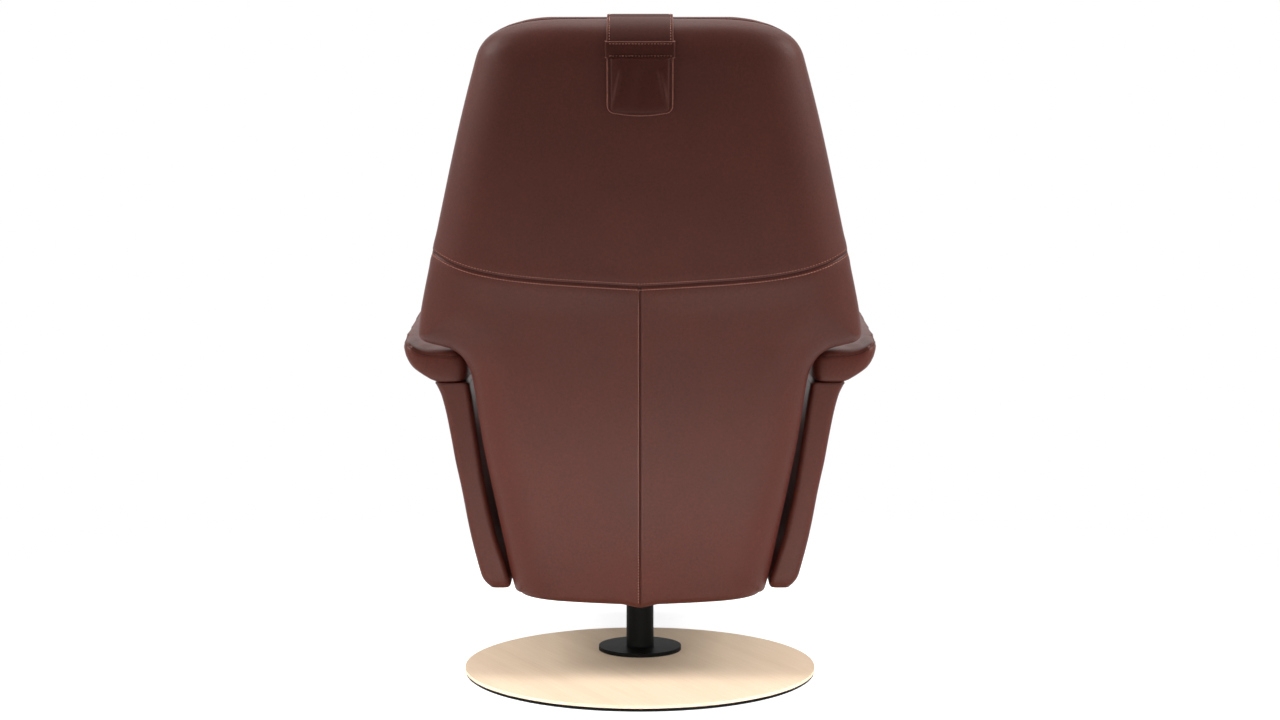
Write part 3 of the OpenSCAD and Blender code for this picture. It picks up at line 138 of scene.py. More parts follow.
def smooth(table, key):
    """Value of a table at a key, on a smooth curve through its points."""
    keys, values = np.array(table, float).T
    count = len(keys)
    key = np.asarray(key, float)
    before = np.maximum(np.arange(count) - 1, 0)
    after = np.minimum(np.arange(count) + 1, count - 1)
    slope = (values[after] - values[before]) / (keys[after] - keys[before])
    i = np.clip(np.searchsorted(keys, key, side="right") - 1, 0, count - 2)
    step = keys[i + 1] - keys[i]
    t = np.clip((key - keys[i]) / step, 0, 1)
    a, b = slope[i] * step, slope[i + 1] * step
    low = values[i] * (1 - t) ** 2 * (1 + 2 * t) + a * t * (1 - t) ** 2
    high = values[i + 1] * t * t * (3 - 2 * t) - b * t * t * (1 - t)
    return low + high


def corner(t, width, power):
    """How far a rounded corner pulls an outline in, at a share of its height."""
    t = np.clip(t, 0, 1)
    return width * (1 - (1 - t ** power) ** (1 / power))


def roll(distance, radius):
    """Share of a rounded edge's depth at a distance from the edge: 1 at the edge, 0 inside."""
    t = 1 - np.clip(distance / radius, 0, 1)
    return 1 - np.sqrt(1 - t * t)


def outline_distance(outline, x, z):
    """Distance of places from an outline of (x, z) points, and the direction towards its inside."""
    x, z = np.broadcast_arrays(np.asarray(x, float), np.asarray(z, float))
    place = np.stack([np.abs(x), z], -1)[..., None, :]
    a, b = outline[:-1], outline[1:]
    along = b - a
    length = np.maximum((along ** 2).sum(-1), 1e-9)
    t = np.clip(((place - a) * along).sum(-1) / length, 0, 1)
    away = place - (a + along * t[..., None])
    distance = np.sqrt((away ** 2).sum(-1))
    nearest = distance.argmin(-1)
    unit = along / np.sqrt(length)[:, None]
    side = np.where(x < 0, -1, 1)
    inward = np.stack([-unit[nearest, 1] * side, unit[nearest, 0]], -1)
    return distance.min(-1), inward


def unit_rows(vectors):
    """Vectors along the last axis, each of length one."""
    return vectors / np.maximum(np.linalg.norm(vectors, axis=-1, keepdims=True), 1e-9)


def mix(a, b, t):
    return a + (b - a) * t


# Forms of the back

def half_w(z):
    """Half the shell's width at a height."""
    top_w, top_h, top_power = TOP_CORNER
    low_w, low_h, low_power = LOW_CORNER
    share = (np.asarray(z, float) - BACK_LOW) / BACK_H
    return (
        WING_HALF_W * smooth(BACK_SHARES, share)
        - corner((z - BACK_TOP + top_h) / top_h, top_w, top_power)
        - corner((BACK_LOW + LOW_EDGE_SAG + low_h - z) / low_h, low_w, low_power)
    )


def rear_y(z):
    """Where the shell's rear surface lies on its centre line."""
    return REAR_LOW_Y + LEAN * smooth(REAR_SHARES, (np.asarray(z, float) - BACK_LOW) / BACK_H)


def rim_y(z):
    return rear_y(z) - SHELL_DEPTH


def seam_z(share):
    """Height of the cross seam at a share of the half width."""
    share = np.abs(share)
    bend = SEAM_BEND_SHARE * share + (1 - SEAM_BEND_SHARE) * share ** SEAM_BEND_POWER
    return BACK_LOW + SEAM_LOW_SHARE * BACK_H + SEAM_RISE * bend


def low_z(share):
    """Height of the shell's lowest edge at a share of the half width."""
    point = HEM_POINT * np.maximum(0, 1 - np.abs(share) / HEM_POINT_SHARE)
    return BACK_LOW + LOW_EDGE_SAG * share ** 2 - point


def top_z(share):
    """Height of the shell's top, the same all across."""
    return np.full_like(share, BACK_TOP)


def outline_heights(low, notch, high, step=1.5):
    """Heights along an outline, close together at its corners and its notch."""
    ends = 25 * (1 - np.cos(np.linspace(0, np.pi / 2, 14)))
    top = TOP_CORNER[1] * (1 - np.sin(np.linspace(0, np.pi / 2, 30)))
    return np.concatenate([
        low + ends, np.arange(low + 28, notch - 40, 12), np.arange(notch - 40, notch + 60, step),
        np.arange(notch + 60, high - TOP_CORNER[1] - 4, 12), high - top,
    ])


def outline_points(width, low, notch, high):
    """Points (half width, height) up one side of an outline, and its middle at the top."""
    return [(width(z), z) for z in outline_heights(low, notch, high)] + [(0.0, high)]


NOTCH_Z = BACK_LOW + 0.445 * BACK_H
BACK_OUTLINE = np.array(outline_points(half_w, BACK_LOW + LOW_EDGE_SAG, NOTCH_Z, BACK_TOP))


def shell_surface(x, z):
    """Points and outward normals of the shell's outer face at places (x, z)."""
    x, z = np.broadcast_arrays(np.asarray(x, float), np.asarray(z, float))
    distance, inward = outline_distance(BACK_OUTLINE, x, z)
    curve = CROSS_CURVE * (x / WING_HALF_W) ** 2
    share = np.minimum(1, np.abs(x) / half_w(z))
    keel = np.clip((seam_z(share) - z) / EDGE_ROUND, 0, 1)
    hollow = 4 * KEEL * share * (1 - share) * keel
    hem = HEM_ROUND * roll(z - low_z(share), HEM_ROUND)
    near = 1 - np.clip(distance / SOFT_ROUND, 0, 1)
    left = np.maximum(1 - near ** SOFT_POWER, 0)
    y = rear_y(z) - curve - (SHELL_DEPTH - curve) * (1 - left ** (1 / SOFT_POWER)) - hollow - hem
    flat = left ** (1 - 1 / SOFT_POWER)
    steep = (SHELL_DEPTH - curve) / SOFT_ROUND * near ** (SOFT_POWER - 1)
    lean = (rear_y(z + 0.4) - rear_y(z - 0.4)) / 0.8
    across = -2 * CROSS_CURVE * x / WING_HALF_W ** 2
    normal = np.stack([
        -across * flat - inward[..., 0] * steep, flat, -lean * flat - inward[..., 1] * steep
    ], -1)
    return np.stack([x, y, z], -1), unit_rows(normal)


def thick_at(z):
    return LUMBAR_T * smooth(THICK_SHARES, (np.asarray(z, float) - BACK_LOW) / BACK_H)


def cushion_half(z):
    """Half the back cushion's width at a height."""
    z = np.asarray(z, float) - TOP_PROUD
    return np.minimum(
        half_w(np.minimum(z, BACK_TOP - EDGE_INSET)) - EDGE_INSET,
        ARMS_HALF_W + np.maximum(0, z - WING_CLEAR_Z) * WING_STEP_SHARE,
    )


CUSHION_OUTLINE = np.array(
    [(0.0, CUSHION_LOW)] + outline_points(cushion_half, CUSHION_LOW, WING_CLEAR_Z, CUSHION_TOP)
)


def front_curve(x):
    """How far a cushion's face curves round the sitter at a distance from the middle."""
    return FRONT_CURVE * (x / WING_HALF_W) ** 2


def cushion_front(x, z):
    """Where the back cushion's front face lies at places (x, z)."""
    distance, _ = outline_distance(CUSHION_OUTLINE, x, z)
    thick = thick_at(z)
    curve = front_curve(x)
    return rim_y(z) - thick + curve + (thick - curve - EDGE_T) * roll(distance, FRONT_ROUND)


# Meshes

def shade_smooth(mesh):
    mesh.polygons.foreach_set("use_smooth", [True] * len(mesh.polygons))


def new_object(name, points, faces):
    """Object with a smooth-shaded mesh from points in millimetres."""
    mesh = bpy.data.meshes.new(name)
    mesh.from_pydata([tuple(p) for p in np.asarray(points, float) * UNIT], [], [tuple(f) for f in faces])
    mesh.validate()
    work = bmesh.new()
    work.from_mesh(mesh)
    bmesh.ops.remove_doubles(work, verts=work.verts, dist=0.02 * UNIT)
    bmesh.ops.recalc_face_normals(work, faces=work.faces)
    work.to_mesh(mesh)
    work.free()
    shade_smooth(mesh)
    piece = bpy.data.objects.new(name, mesh)
    bpy.context.scene.collection.objects.link(piece)
    return piece


def grid_faces(rows, cols, shift=0, closed=False):
    """Quads of a grid of points, closed across its columns if asked."""
    wide = cols if closed else cols - 1
    return [
        (shift + i * cols + j, shift + i * cols + (j + 1) % cols,
         shift + (i + 1) * cols + (j + 1) % cols, shift + (i + 1) * cols + j)
        for i in range(rows - 1) for j in range(wide)
    ]


def slab_object(name, outer, inner):
    """Closed sheet between two grids of points."""
    rows, cols = outer.shape[:2]
    shift = rows * cols
    faces = grid_faces(rows, cols) + [f[::-1] for f in grid_faces(rows, cols, shift)]
    rim = (
        [(0, j) for j in range(cols)] + [(i, cols - 1) for i in range(1, rows)]
        + [(rows - 1, j) for j in range(cols - 2, -1, -1)] + [(i, 0) for i in range(rows - 2, 0, -1)]
    )
    loop = [i * cols + j for i, j in rim]
    for a, b in zip(loop, loop[1:] + loop[:1]):
        faces.append((a, b, b + shift, a + shift))
    return new_object(name, np.concatenate([outer.reshape(-1, 3), inner.reshape(-1, 3)]), faces)


def loft_object(name, rings):
    """Closed form through rings of equally many points, with a point in the middle of each end."""
    rings = np.asarray(rings, float)
    count, size = rings.shape[:2]
    faces = grid_faces(count, size, closed=True)
    points = np.concatenate([rings.reshape(-1, 3), rings[:1].mean(1), rings[-1:].mean(1)])
    low, high = count * size, count * size + 1
    last = (count - 1) * size
    for j in range(size):
        faces.append((low, (j + 1) % size, j))
        faces.append((high, last + j, last + (j + 1) % size))
    return new_object(name, points, faces)


def tube_points(path, radius, sides=8, closed=False):
    """Rings of a round tube along a path of points."""
    path = np.asarray(path, float)
    ahead = np.roll(path, -1, 0) if closed else np.concatenate([path[1:], path[-1:]])
    behind = np.roll(path, 1, 0) if closed else np.concatenate([path[:1], path[:-1]])
    along = unit_rows(ahead - behind)
    side = np.cross(along[0], (0.0, 0.0, 1.0))
    if np.linalg.norm(side) < 0.1:
        side = np.cross(along[0], (1.0, 0.0, 0.0))
    rings = []
    for place, direction in zip(path, along):
        side = unit_rows(side - direction * side.dot(direction))
        up = np.cross(direction, side)
        turn = np.linspace(0, 2 * np.pi, sides, endpoint=False)[:, None]
        rings.append(place + radius * (np.cos(turn) * side + np.sin(turn) * up))
    return np.array(rings)


def tube_object(name, path, radius, sides=8, closed=False):
    """Round tube along a path, such as a piping or the line of a seam."""
    rings = tube_points(path, radius, sides, closed)
    if closed:
        rings = np.concatenate([rings, rings[:1]])
        return new_object(name, rings.reshape(-1, 3), grid_faces(len(rings), sides, closed=True))
    return loft_object(name, rings)


def reach_along(path, scale=1):
    """Distance along a path to each of its points."""
    return np.concatenate([[0], np.cumsum(np.linalg.norm(np.diff(path, axis=0) * scale, axis=1))])


def at_places(places, reach, values):
    """Points or normals of a path at distances along it."""
    return np.stack([np.interp(places, reach, values[:, k]) for k in range(3)], -1)


def resample(path, step):
    """Points spaced evenly along a path."""
    path = np.asarray(path, float)
    reach = reach_along(path)
    count = max(2, int(reach[-1] / step) + 1)
    return at_places(np.linspace(0, reach[-1], count), reach, path)


def stitch_object(name, path, normals, pitch=STITCH_PITCH, length=STITCH_L, radius=0.55):
    """Row of thread stitches along a path, each a short bent capsule."""
    path = np.asarray(path, float)
    reach = reach_along(path)
    points, faces = [], []
    sides, steps = 6, 5
    bend = np.sin(np.linspace(0, np.pi, steps))[:, None]
    for k in range(int(reach[-1] / pitch)):
        places = (k + 0.5) * pitch - length / 2 + np.linspace(0, length, steps)
        lift = at_places(places, reach, normals) * (radius * 0.6 * bend - radius * 0.4)
        middle = at_places(places, reach, path) + lift
        rings = tube_points(middle, 1.0, sides)
        rings = middle[:, None] + (rings - middle[:, None]) * (radius * (0.45 + 0.55 * bend)[:, None])
        shift = len(points)
        points.extend(rings.reshape(-1, 3))
        faces.extend(grid_faces(steps, sides, shift, closed=True))
        faces.append(tuple(shift + j for j in range(sides))[::-1])
        faces.append(tuple(shift + (steps - 1) * sides + j for j in range(sides)))
    return new_object(name, points, faces)


def join(name, pieces):
    """One object from several."""
    bpy.ops.object.select_all(action="DESELECT")
    for piece in pieces:
        piece.select_set(True)
    bpy.context.view_layer.objects.active = pieces[0]
    if len(pieces) > 1:
        bpy.ops.object.join()
    whole = bpy.context.view_layer.objects.active
    whole.name = name
    whole.data.name = name
    return whole


def mirrored_copy(piece, name):
    """Copy of a piece on the other side of the chair."""
    mesh = piece.data.copy()
    mesh.name = name
    mesh.transform(Matrix.Scale(-1, 4, (1, 0, 0)))
    mesh.flip_normals()
    twin = bpy.data.objects.new(name, mesh)
    bpy.context.scene.collection.objects.link(twin)
    return twin


def read_vectors(mesh, name):
    values = np.empty(len(mesh.vertices) * 3)
    mesh.vertices.foreach_get(name, values)
    return values.reshape(-1, 3)


def vertex_array(mesh):
    return read_vectors(mesh, "co") / UNIT


def set_vertices(mesh, points):
    mesh.vertices.foreach_set("co", (np.asarray(points) * UNIT).ravel())
    mesh.update()


def path_tree(path):
    """Search tree over a path's points."""
    tree = KDTree(len(path))
    for i, place in enumerate(path):
        tree.insert(Vector(place), i)
    tree.balance()
    return tree


def dent(piece, path, depth, width):
    """Presses a soft groove into a piece along a path."""
    tree = path_tree(resample(path, max(1.0, width / 4)))
    points, normals = vertex_array(piece.data), read_vectors(piece.data, "normal")
    for i, place in enumerate(points):
        distance = tree.find(Vector(place))[2]
        if distance < 3 * width:
            points[i] -= normals[i] * depth * math.exp(-(distance / width) ** 2)
    set_vertices(piece.data, points)


def apply_modifiers(piece):
    """Turns a piece's evaluated mesh into its own mesh."""
    graph = bpy.context.evaluated_depsgraph_get()
    mesh = bpy.data.meshes.new_from_object(piece.evaluated_get(graph))
    old = piece.data
    piece.modifiers.clear()
    piece.data = mesh
    mesh.name = piece.name
    bpy.data.meshes.remove(old)


def modify(piece, kind, **settings):
    """Adds a modifier with its settings, and applies it."""
    modifier = piece.modifiers.new(kind, kind)
    for key, value in settings.items():
        setattr(modifier, key, value)
    apply_modifiers(piece)


CLOTH_FRAMES = 20
CLOTH = {
    "quality": 5, "mass": 0.4, "tension_stiffness": 18, "compression_stiffness": 18, "shear_stiffness": 9,
    "bending_stiffness": 2.5, "use_pressure": True, "vertex_group_mass": "sewn",
}


def inflate(piece, pinned, voxel, pressure, cap):
    """Fills a piece like a sewn cushion: remeshed, blown up as cloth and capped in its movement."""
    modify(piece, "REMESH", mode="VOXEL", voxel_size=voxel * UNIT, use_smooth_shade=True)
    modify(piece, "SMOOTH", factor=0.5, iterations=4)
    start = vertex_array(piece.data)
    group = piece.vertex_groups.new(name="sewn")
    for i, weight in enumerate(pinned(start)):
        if weight > 0:
            group.add([i], float(weight), "REPLACE")
    cloth = piece.modifiers.new("Cloth", "CLOTH")
    for key, value in CLOTH.items():
        setattr(cloth.settings, key, value)
    cloth.settings.uniform_pressure_force = pressure
    cloth.settings.effector_weights.gravity = 0
    cloth.collision_settings.use_collision = False
    cloth.point_cache.frame_start = 1
    cloth.point_cache.frame_end = CLOTH_FRAMES
    for number in range(1, CLOTH_FRAMES + 1):
        bpy.context.scene.frame_set(number)
    apply_modifiers(piece)
    bpy.context.scene.frame_set(1)
    step = vertex_array(piece.data) - start
    length = np.linalg.norm(step, axis=1, keepdims=True)
    step *= np.minimum(1, cap / np.maximum(length, 1e-6))
    set_vertices(piece.data, start + step)
    modify(piece, "SMOOTH", factor=0.35, iterations=2)


def subdivide(piece):
    modify(piece, "SUBSURF", levels=1, render_levels=1)


def surface_path(piece, path, lift=0.0):
    """A path laid on a piece's surface, with the surface's normals along it."""
    graph = bpy.context.evaluated_depsgraph_get()
    places, normals = [], []
    for place in np.asarray(path, float):
        _, where, normal, _ = piece.closest_point_on_mesh(Vector(place * UNIT), depsgraph=graph)
        places.append(np.array(where) / UNIT + np.array(normal) * lift)
        normals.append(np.array(normal))
    return np.array(places), np.array(normals)


# Shader nodes

FINISH_OUTPUTS = {"Colour": "NodeSocketColor", "Roughness": "NodeSocketFloat", "Height": "NodeSocketFloat"}
NODE_COLUMNS = 8
NODE_STEP = (220, -280)


def feed(tree, source, socket):
    """Links a socket to a source, or gives it a plain value."""
    if isinstance(source, bpy.types.NodeSocket):
        tree.links.new(source, socket)
    else:
        socket.default_value = source


def add_node(tree, kind, inputs=None, **settings):
    """Shader node beside the others of its tree, with its inputs fed by name or number."""
    node = tree.nodes.new(kind)
    row, column = divmod(len(tree.nodes), NODE_COLUMNS)
    node.location = (NODE_STEP[0] * column, NODE_STEP[1] * row)
    for key, value in settings.items():
        setattr(node, key, value)
    for key, source in (inputs or {}).items():
        feed(tree, source, node.inputs[key])
    return node


def new_group(name, inputs):
    """Shader node group for a finish, and its input sockets by name."""
    tree = bpy.data.node_groups.new(name, "ShaderNodeTree")
    for label, default in inputs.items():
        kind = "NodeSocketColor" if isinstance(default, tuple) else "NodeSocketFloat"
        tree.interface.new_socket(label, in_out="INPUT", socket_type=kind).default_value = default
    for label, kind in FINISH_OUTPUTS.items():
        tree.interface.new_socket(label, in_out="OUTPUT", socket_type=kind)
    return tree, add_node(tree, "NodeGroupInput").outputs


def finish_group(tree, *sources):
    """Puts out the finish's colour, roughness and height."""
    add_node(tree, "NodeGroupOutput", dict(zip(FINISH_OUTPUTS, sources)))
    return tree


def maths(tree, operation, a, b, clamp=False):
    """Math node from sockets or numbers."""
    return add_node(tree, "ShaderNodeMath", {0: a, 1: b}, operation=operation, use_clamp=clamp).outputs[0]


def blend_colour(tree, factor, a, b):
    return add_node(tree, "ShaderNodeMix", {0: factor, 6: a, 7: b}, data_type="RGBA").outputs[2]


def shaded(tree, colour, value):
    """A colour with its lightness times a value."""
    return add_node(tree, "ShaderNodeHueSaturation", {"Color": colour, "Value": value}).outputs[0]


def object_place(tree):
    return add_node(tree, "ShaderNodeTexCoord").outputs["Object"]


def scaled(tree, vector, scale):
    return add_node(tree, "ShaderNodeVectorMath", {0: vector, "Scale": scale}, operation="SCALE").outputs[0]


def stretched(tree, vector, factors):
    return add_node(tree, "ShaderNodeVectorMath", {0: vector, 1: factors}, operation="MULTIPLY").outputs[0]


def noise(tree, vector, scale=1.0, detail=2.0, roughness=0.5, distortion=0.0):
    inputs = {
        "Vector": vector, "Scale": scale, "Detail": detail, "Roughness": roughness, "Distortion": distortion,
    }
    return add_node(tree, "ShaderNodeTexNoise", inputs).outputs["Fac"]


# Finishes

PORE_COLOUR = (0.012, 0.004, 0.003, 1)
WOOD_GRAIN = (0.035, 1.0, 1.0)
DRAWN_STREAKS = (0.2, 1.0, 4.0)


def leather_group():
    """Fine grain, soft creases and clouding of finished leather."""
    tree, entry = new_group("Leather grain", {
        "Colour": (0.06, 0.02, 0.015, 1), "Tint": (0.09, 0.03, 0.02, 1), "Grain scale": 900.0,
        "Cloud scale": 9.0, "Crease scale": 38.0, "Crease depth": 0.35, "Mottle scale": 240.0,
        "Mottle": 0.3, "Gloss": 0.36,
    })
    where = object_place(tree)
    grain_at, crease_at, cloud_at, mottle_at = (
        scaled(tree, where, entry[f"{label} scale"]) for label in ("Grain", "Crease", "Cloud", "Mottle"))
    cells = add_node(
        tree, "ShaderNodeTexVoronoi", {"Vector": grain_at, "Scale": 1.0}, feature="DISTANCE_TO_EDGE")
    pebble = maths(tree, "MULTIPLY", cells.outputs["Distance"], 1.6, clamp=True)
    pebble = maths(tree, "POWER", pebble, 0.6)
    creases = noise(tree, crease_at, detail=5.0, roughness=0.6, distortion=0.5)
    clouds = noise(tree, cloud_at, detail=3.0)
    mottle = noise(tree, mottle_at, detail=3.0, roughness=0.65)
    spread = add_node(tree, "ShaderNodeMapRange", {"Value": clouds, "From Min": 0.3, "From Max": 0.7})
    clouded = blend_colour(tree, spread.outputs[0], entry["Colour"], entry["Tint"])
    pores = maths(tree, "SUBTRACT", 0.28, maths(tree, "MULTIPLY", pebble, 0.28))
    dark = blend_colour(tree, pores, clouded, PORE_COLOUR)
    tone = maths(tree, "MULTIPLY", maths(tree, "SUBTRACT", mottle, 0.5), entry["Mottle"])
    lightness = maths(tree, "ADD", maths(tree, "MULTIPLY", tone, 3.0), 1.0)
    rough = maths(tree, "ADD", entry["Gloss"], maths(tree, "MULTIPLY", clouds, 0.10))
    rough = maths(tree, "SUBTRACT", rough, maths(tree, "MULTIPLY", pebble, 0.06))
    fine = maths(tree, "ADD", maths(tree, "MULTIPLY", pebble, 0.14), tone)
    deep = maths(tree, "MULTIPLY", creases, entry["Crease depth"])
    return finish_group(tree, shaded(tree, dark, lightness), rough, maths(tree, "ADD", fine, deep))


def veneer_group():
    """Straight grain of sliced wood: fine pores and wider growth lines."""
    tree, entry = new_group("Wood veneer", {
        "Light": (0.96, 0.75, 0.55, 1), "Dark": (0.78, 0.56, 0.38, 1), "Pore scale": 260.0,
        "Ring scale": 22.0, "Turn": 1.1, "Sheen": 0.42,
    })
    turned = add_node(
        tree, "ShaderNodeVectorRotate", {"Vector": object_place(tree), "Angle": entry["Turn"]},
        rotation_type="Z_AXIS")
    grain = stretched(tree, turned.outputs[0], WOOD_GRAIN)
    pores = noise(tree, scaled(tree, grain, entry["Pore scale"]), detail=4.0, roughness=0.65)
    rings = noise(tree, scaled(tree, grain, entry["Ring scale"]), detail=6.0, roughness=0.65)
    pores = maths(tree, "MULTIPLY", maths(tree, "SUBTRACT", pores, 0.42, True), 2.2, True)
    rings = maths(tree, "MULTIPLY", maths(tree, "SUBTRACT", rings, 0.40, True), 3.0, True)
    pore_depth, ring_depth = (maths(tree, "MULTIPLY", source, 0.35) for source in (pores, rings))
    lines = maths(tree, "ADD", pore_depth, ring_depth, clamp=True)
    colour = blend_colour(tree, lines, entry["Light"], entry["Dark"])
    rough = maths(tree, "ADD", entry["Sheen"], maths(tree, "MULTIPLY", pores, 0.15))
    return finish_group(tree, colour, rough, maths(tree, "SUBTRACT", 1.0, pores))


def metal_group():
    """Fine speckle, drawn streaks and handling marks of plated or coated metal."""
    tree, entry = new_group("Metal finish", {
        "Colour": (0.5, 0.5, 0.52, 1), "Speckle scale": 900.0, "Streak scale": 60.0, "Roughness": 0.35,
        "Marks": 0.12,
    })
    where = object_place(tree)
    speckle = noise(tree, scaled(tree, where, entry["Speckle scale"]))
    drawn = stretched(tree, scaled(tree, where, entry["Streak scale"]), DRAWN_STREAKS)
    marks = maths(tree, "MULTIPLY", noise(tree, drawn, detail=4.0), entry["Marks"])
    colour = shaded(tree, entry["Colour"], maths(tree, "SUBTRACT", 1.06, marks))
    return finish_group(tree, colour, maths(tree, "ADD", entry["Roughness"], marks), speckle)


def weave_group():
    """Over-and-under threads of a woven band or felt."""
    tree, entry = new_group(
        "Weave", {"Colour": (0.04, 0.04, 0.045, 1), "Thread scale": 520.0, "Fuzz": 0.5})
    at = scaled(tree, object_place(tree), entry["Thread scale"])
    x, y, z = add_node(tree, "ShaderNodeSeparateXYZ", {0: at}).outputs
    across = maths(tree, "SINE", maths(tree, "ADD", x, y), 0.0)
    along = maths(tree, "SINE", maths(tree, "SUBTRACT", x, z), 0.0)
    bumps = maths(tree, "ADD", maths(tree, "MULTIPLY", across, along), 1.0)
    bumps = maths(tree, "MULTIPLY", bumps, 0.5)
    fuzz = maths(tree, "MULTIPLY", noise(tree, at, scale=0.4), entry["Fuzz"])
    lightness = maths(tree, "ADD", 0.55, maths(tree, "ADD", maths(tree, "MULTIPLY", bumps, 0.5), fuzz))
    rough = maths(tree, "ADD", 0.75, maths(tree, "MULTIPLY", bumps, 0.15))
    colour = shaded(tree, entry["Colour"], lightness)
    return finish_group(tree, colour, rough, maths(tree, "ADD", bumps, fuzz))


def finished(
        name, group, sockets, bump, metallic=0.0, coat=0.0, coat_roughness=0.3, specular=0.5,
        shine=(1.0, 1.0, 1.0, 1.0)):
    """Material whose colour, roughness and bump come from a node group."""
    material = bpy.data.materials.new(name)
    material.use_nodes = True
    tree = material.node_tree
    effect = add_node(tree, "ShaderNodeGroup", sockets, node_tree=group).outputs
    relief = add_node(
        tree, "ShaderNodeBump", {"Distance": bump * UNIT, "Strength": 1.0, "Height": effect["Height"]})
    fed = {
        "Base Color": effect["Colour"], "Roughness": effect["Roughness"], "Normal": relief.outputs["Normal"],
        "Metallic": metallic, "Coat Weight": coat, "Coat Roughness": coat_roughness,
        "Specular IOR Level": specular, "Specular Tint": shine,
    }
    for label, source in fed.items():
        feed(tree, source, tree.nodes["Principled BSDF"].inputs[label])
    return material


def srgb(red, green, blue):
    """Linear colour from 0 to 255 display values."""
    linear = [
        v / 255 / 12.92 if v <= 10 else ((v / 255 + 0.055) / 1.055) ** 2.4 for v in (red, green, blue)
    ]
    return (*linear, 1.0)


def toned(rgba, factor):
    return tuple(v * factor for v in rgba[:3]) + (1.0,)


LEATHER_SHINE = (1.0, 0.84, 0.78, 1.0)
# Factor on the colour, crease depth, bump in millimetres and specular level
LEATHERS = {
    "leather": (1, 0.8, 0.5, 0.22),
    "leather_soft": (1.1, 0.8, 0.5, 0.22),
    "leather_dark": (0.8, 0.5, 0.35, 0.14),
    "leather_lit": (1.35, 0.4, 0.35, 0.22),
    "leather_matt": (0.75, 0.5, 0.35, 0.22),
    "seam": (0.35, 0.2, 0.35, 0.22),
}
MATT_ROUGHNESS = 0.6


def make_materials(settings):
    """Every finish of the chair, by name."""
    leather, veneer, metal, weave = leather_group(), veneer_group(), metal_group(), weave_group()
    hide = {"coat": settings.coat, "coat_roughness": 0.45, "shine": LEATHER_SHINE}
    materials = {}
    for name, (factor, creases, bump, specular) in LEATHERS.items():
        sockets = {
            "Colour": toned(settings.colour, factor), "Tint": toned(settings.tint, factor),
            "Gloss": MATT_ROUGHNESS if name in ("leather_matt", "seam") else settings.gloss,
            "Crease depth": creases,
        }
        materials[name] = finished(name, leather, sockets, bump, specular=specular, **hide)
    # Edge leather, lighter than the rest: partly the raw cut edge's own colour, partly a painted highlight
    # along the edges.
    edge = {"Colour": srgb(138, 84, 70), "Tint": srgb(150, 96, 82), "Gloss": 0.5, "Crease depth": 0.2}
    birch = {"Turn": 0.0, "Sheen": 0.6}
    others = {
        "leather_edge": (leather, edge, 0.35, {"specular": 0.22, **hide}),
        "thread": (weave, {"Colour": srgb(158, 104, 88), "Thread scale": 2600.0}, 0.1, {}),
        "oak": (veneer, {"Sheen": 0.6}, 0.05, {"specular": 0.15}),
        "birch": (veneer, {"Light": srgb(226, 202, 162), "Dark": srgb(192, 158, 112), **birch}, 0.08, {}),
        "dark_birch": (veneer, {"Light": srgb(62, 42, 33), "Dark": srgb(40, 27, 22), **birch}, 0.08, {}),
        "black_steel": (
            metal, {"Colour": srgb(9, 9, 8), "Roughness": 0.46, "Marks": 0.05, "Speckle scale": 1400.0},
            0.06, {"specular": 0.06}),
        "steel": (
            metal, {"Colour": srgb(178, 180, 184), "Roughness": 0.28, "Marks": 0.2}, 0.02,
            {"metallic": 1.0}),
        "brass": (metal, {"Colour": srgb(196, 164, 92), "Roughness": 0.3}, 0.02, {"metallic": 1.0}),
        "plastic": (metal, {"Colour": srgb(34, 34, 36), "Roughness": 0.5, "Marks": 0.05}, 0.08, {}),
        "button": (
            metal, {"Colour": srgb(18, 18, 19), "Roughness": 0.22, "Marks": 0.05}, 0.02,
            {"coat": 0.4, "coat_roughness": 0.1}),
        "webbing": (weave, {"Colour": srgb(72, 66, 60), "Thread scale": 1400.0}, 0.4, {}),
        "felt": (weave, {"Colour": srgb(36, 36, 38), "Thread scale": 3200.0, "Fuzz": 0.9}, 0.3, {}),
    }
    for name, (group, sockets, bump, gloss) in others.items():
        materials[name] = finished(name, group, sockets, bump, **gloss)
    return materials


def paint(piece, material):
    piece.data.materials.clear()
    piece.data.materials.append(MATERIALS[material])


def dress(piece, colour, body, node=None):
    """Gives a piece its finish, slot and body, and hides the CAD node that it replaces."""
    paint(piece, colour)
    if node:
        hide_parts(node)
    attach(piece, body)


# Finishes by name, filled by the first operator that runs
MATERIALS = {}


# Back shell

def spread_shares(first, count):
    """Shares from 0 to 1, close together at the centre seam and at the edge."""
    start = np.array(first, float)
    rest = np.sin(np.linspace(0, np.pi / 2, count))
    rest = start[-1] + (1 - start[-1]) * rest
    return np.concatenate([start[:-1], rest])


def seam_relief(distance, side):
    """Height of a lapped seam across its line: a groove, a lap and a soft swelling beside it."""
    groove = -1.7 * np.exp(-(distance / 1.6) ** 2)
    lap = side * 0.5 * np.exp(-(distance / 9) ** 2)
    swell = 0.7 * np.exp(-((distance - 14) / 9) ** 2)
    return groove + lap + swell


def cover(name, shares, rows, low, high):
    """One leather panel of the shell, between two curves of height over the half width's share."""
    share = shares[None, :]
    z = mix(low(share), high(share), rows[:, None])
    x = share * half_w(z)
    points, normals = shell_surface(x, z)
    below = seam_z(share) - z
    relief = seam_relief(np.abs(below), np.where(below > 0, -1, 1))
    centre = -1.8 * np.exp(-(x / 1.7) ** 2) + 0.5 * np.exp(-((np.abs(x) - 10) / 7) ** 2)
    relief = relief + np.where(below > -0.5, centre, 0)
    return slab_object(name, points + normals * relief[..., None], points - normals * COVER_SKIN)


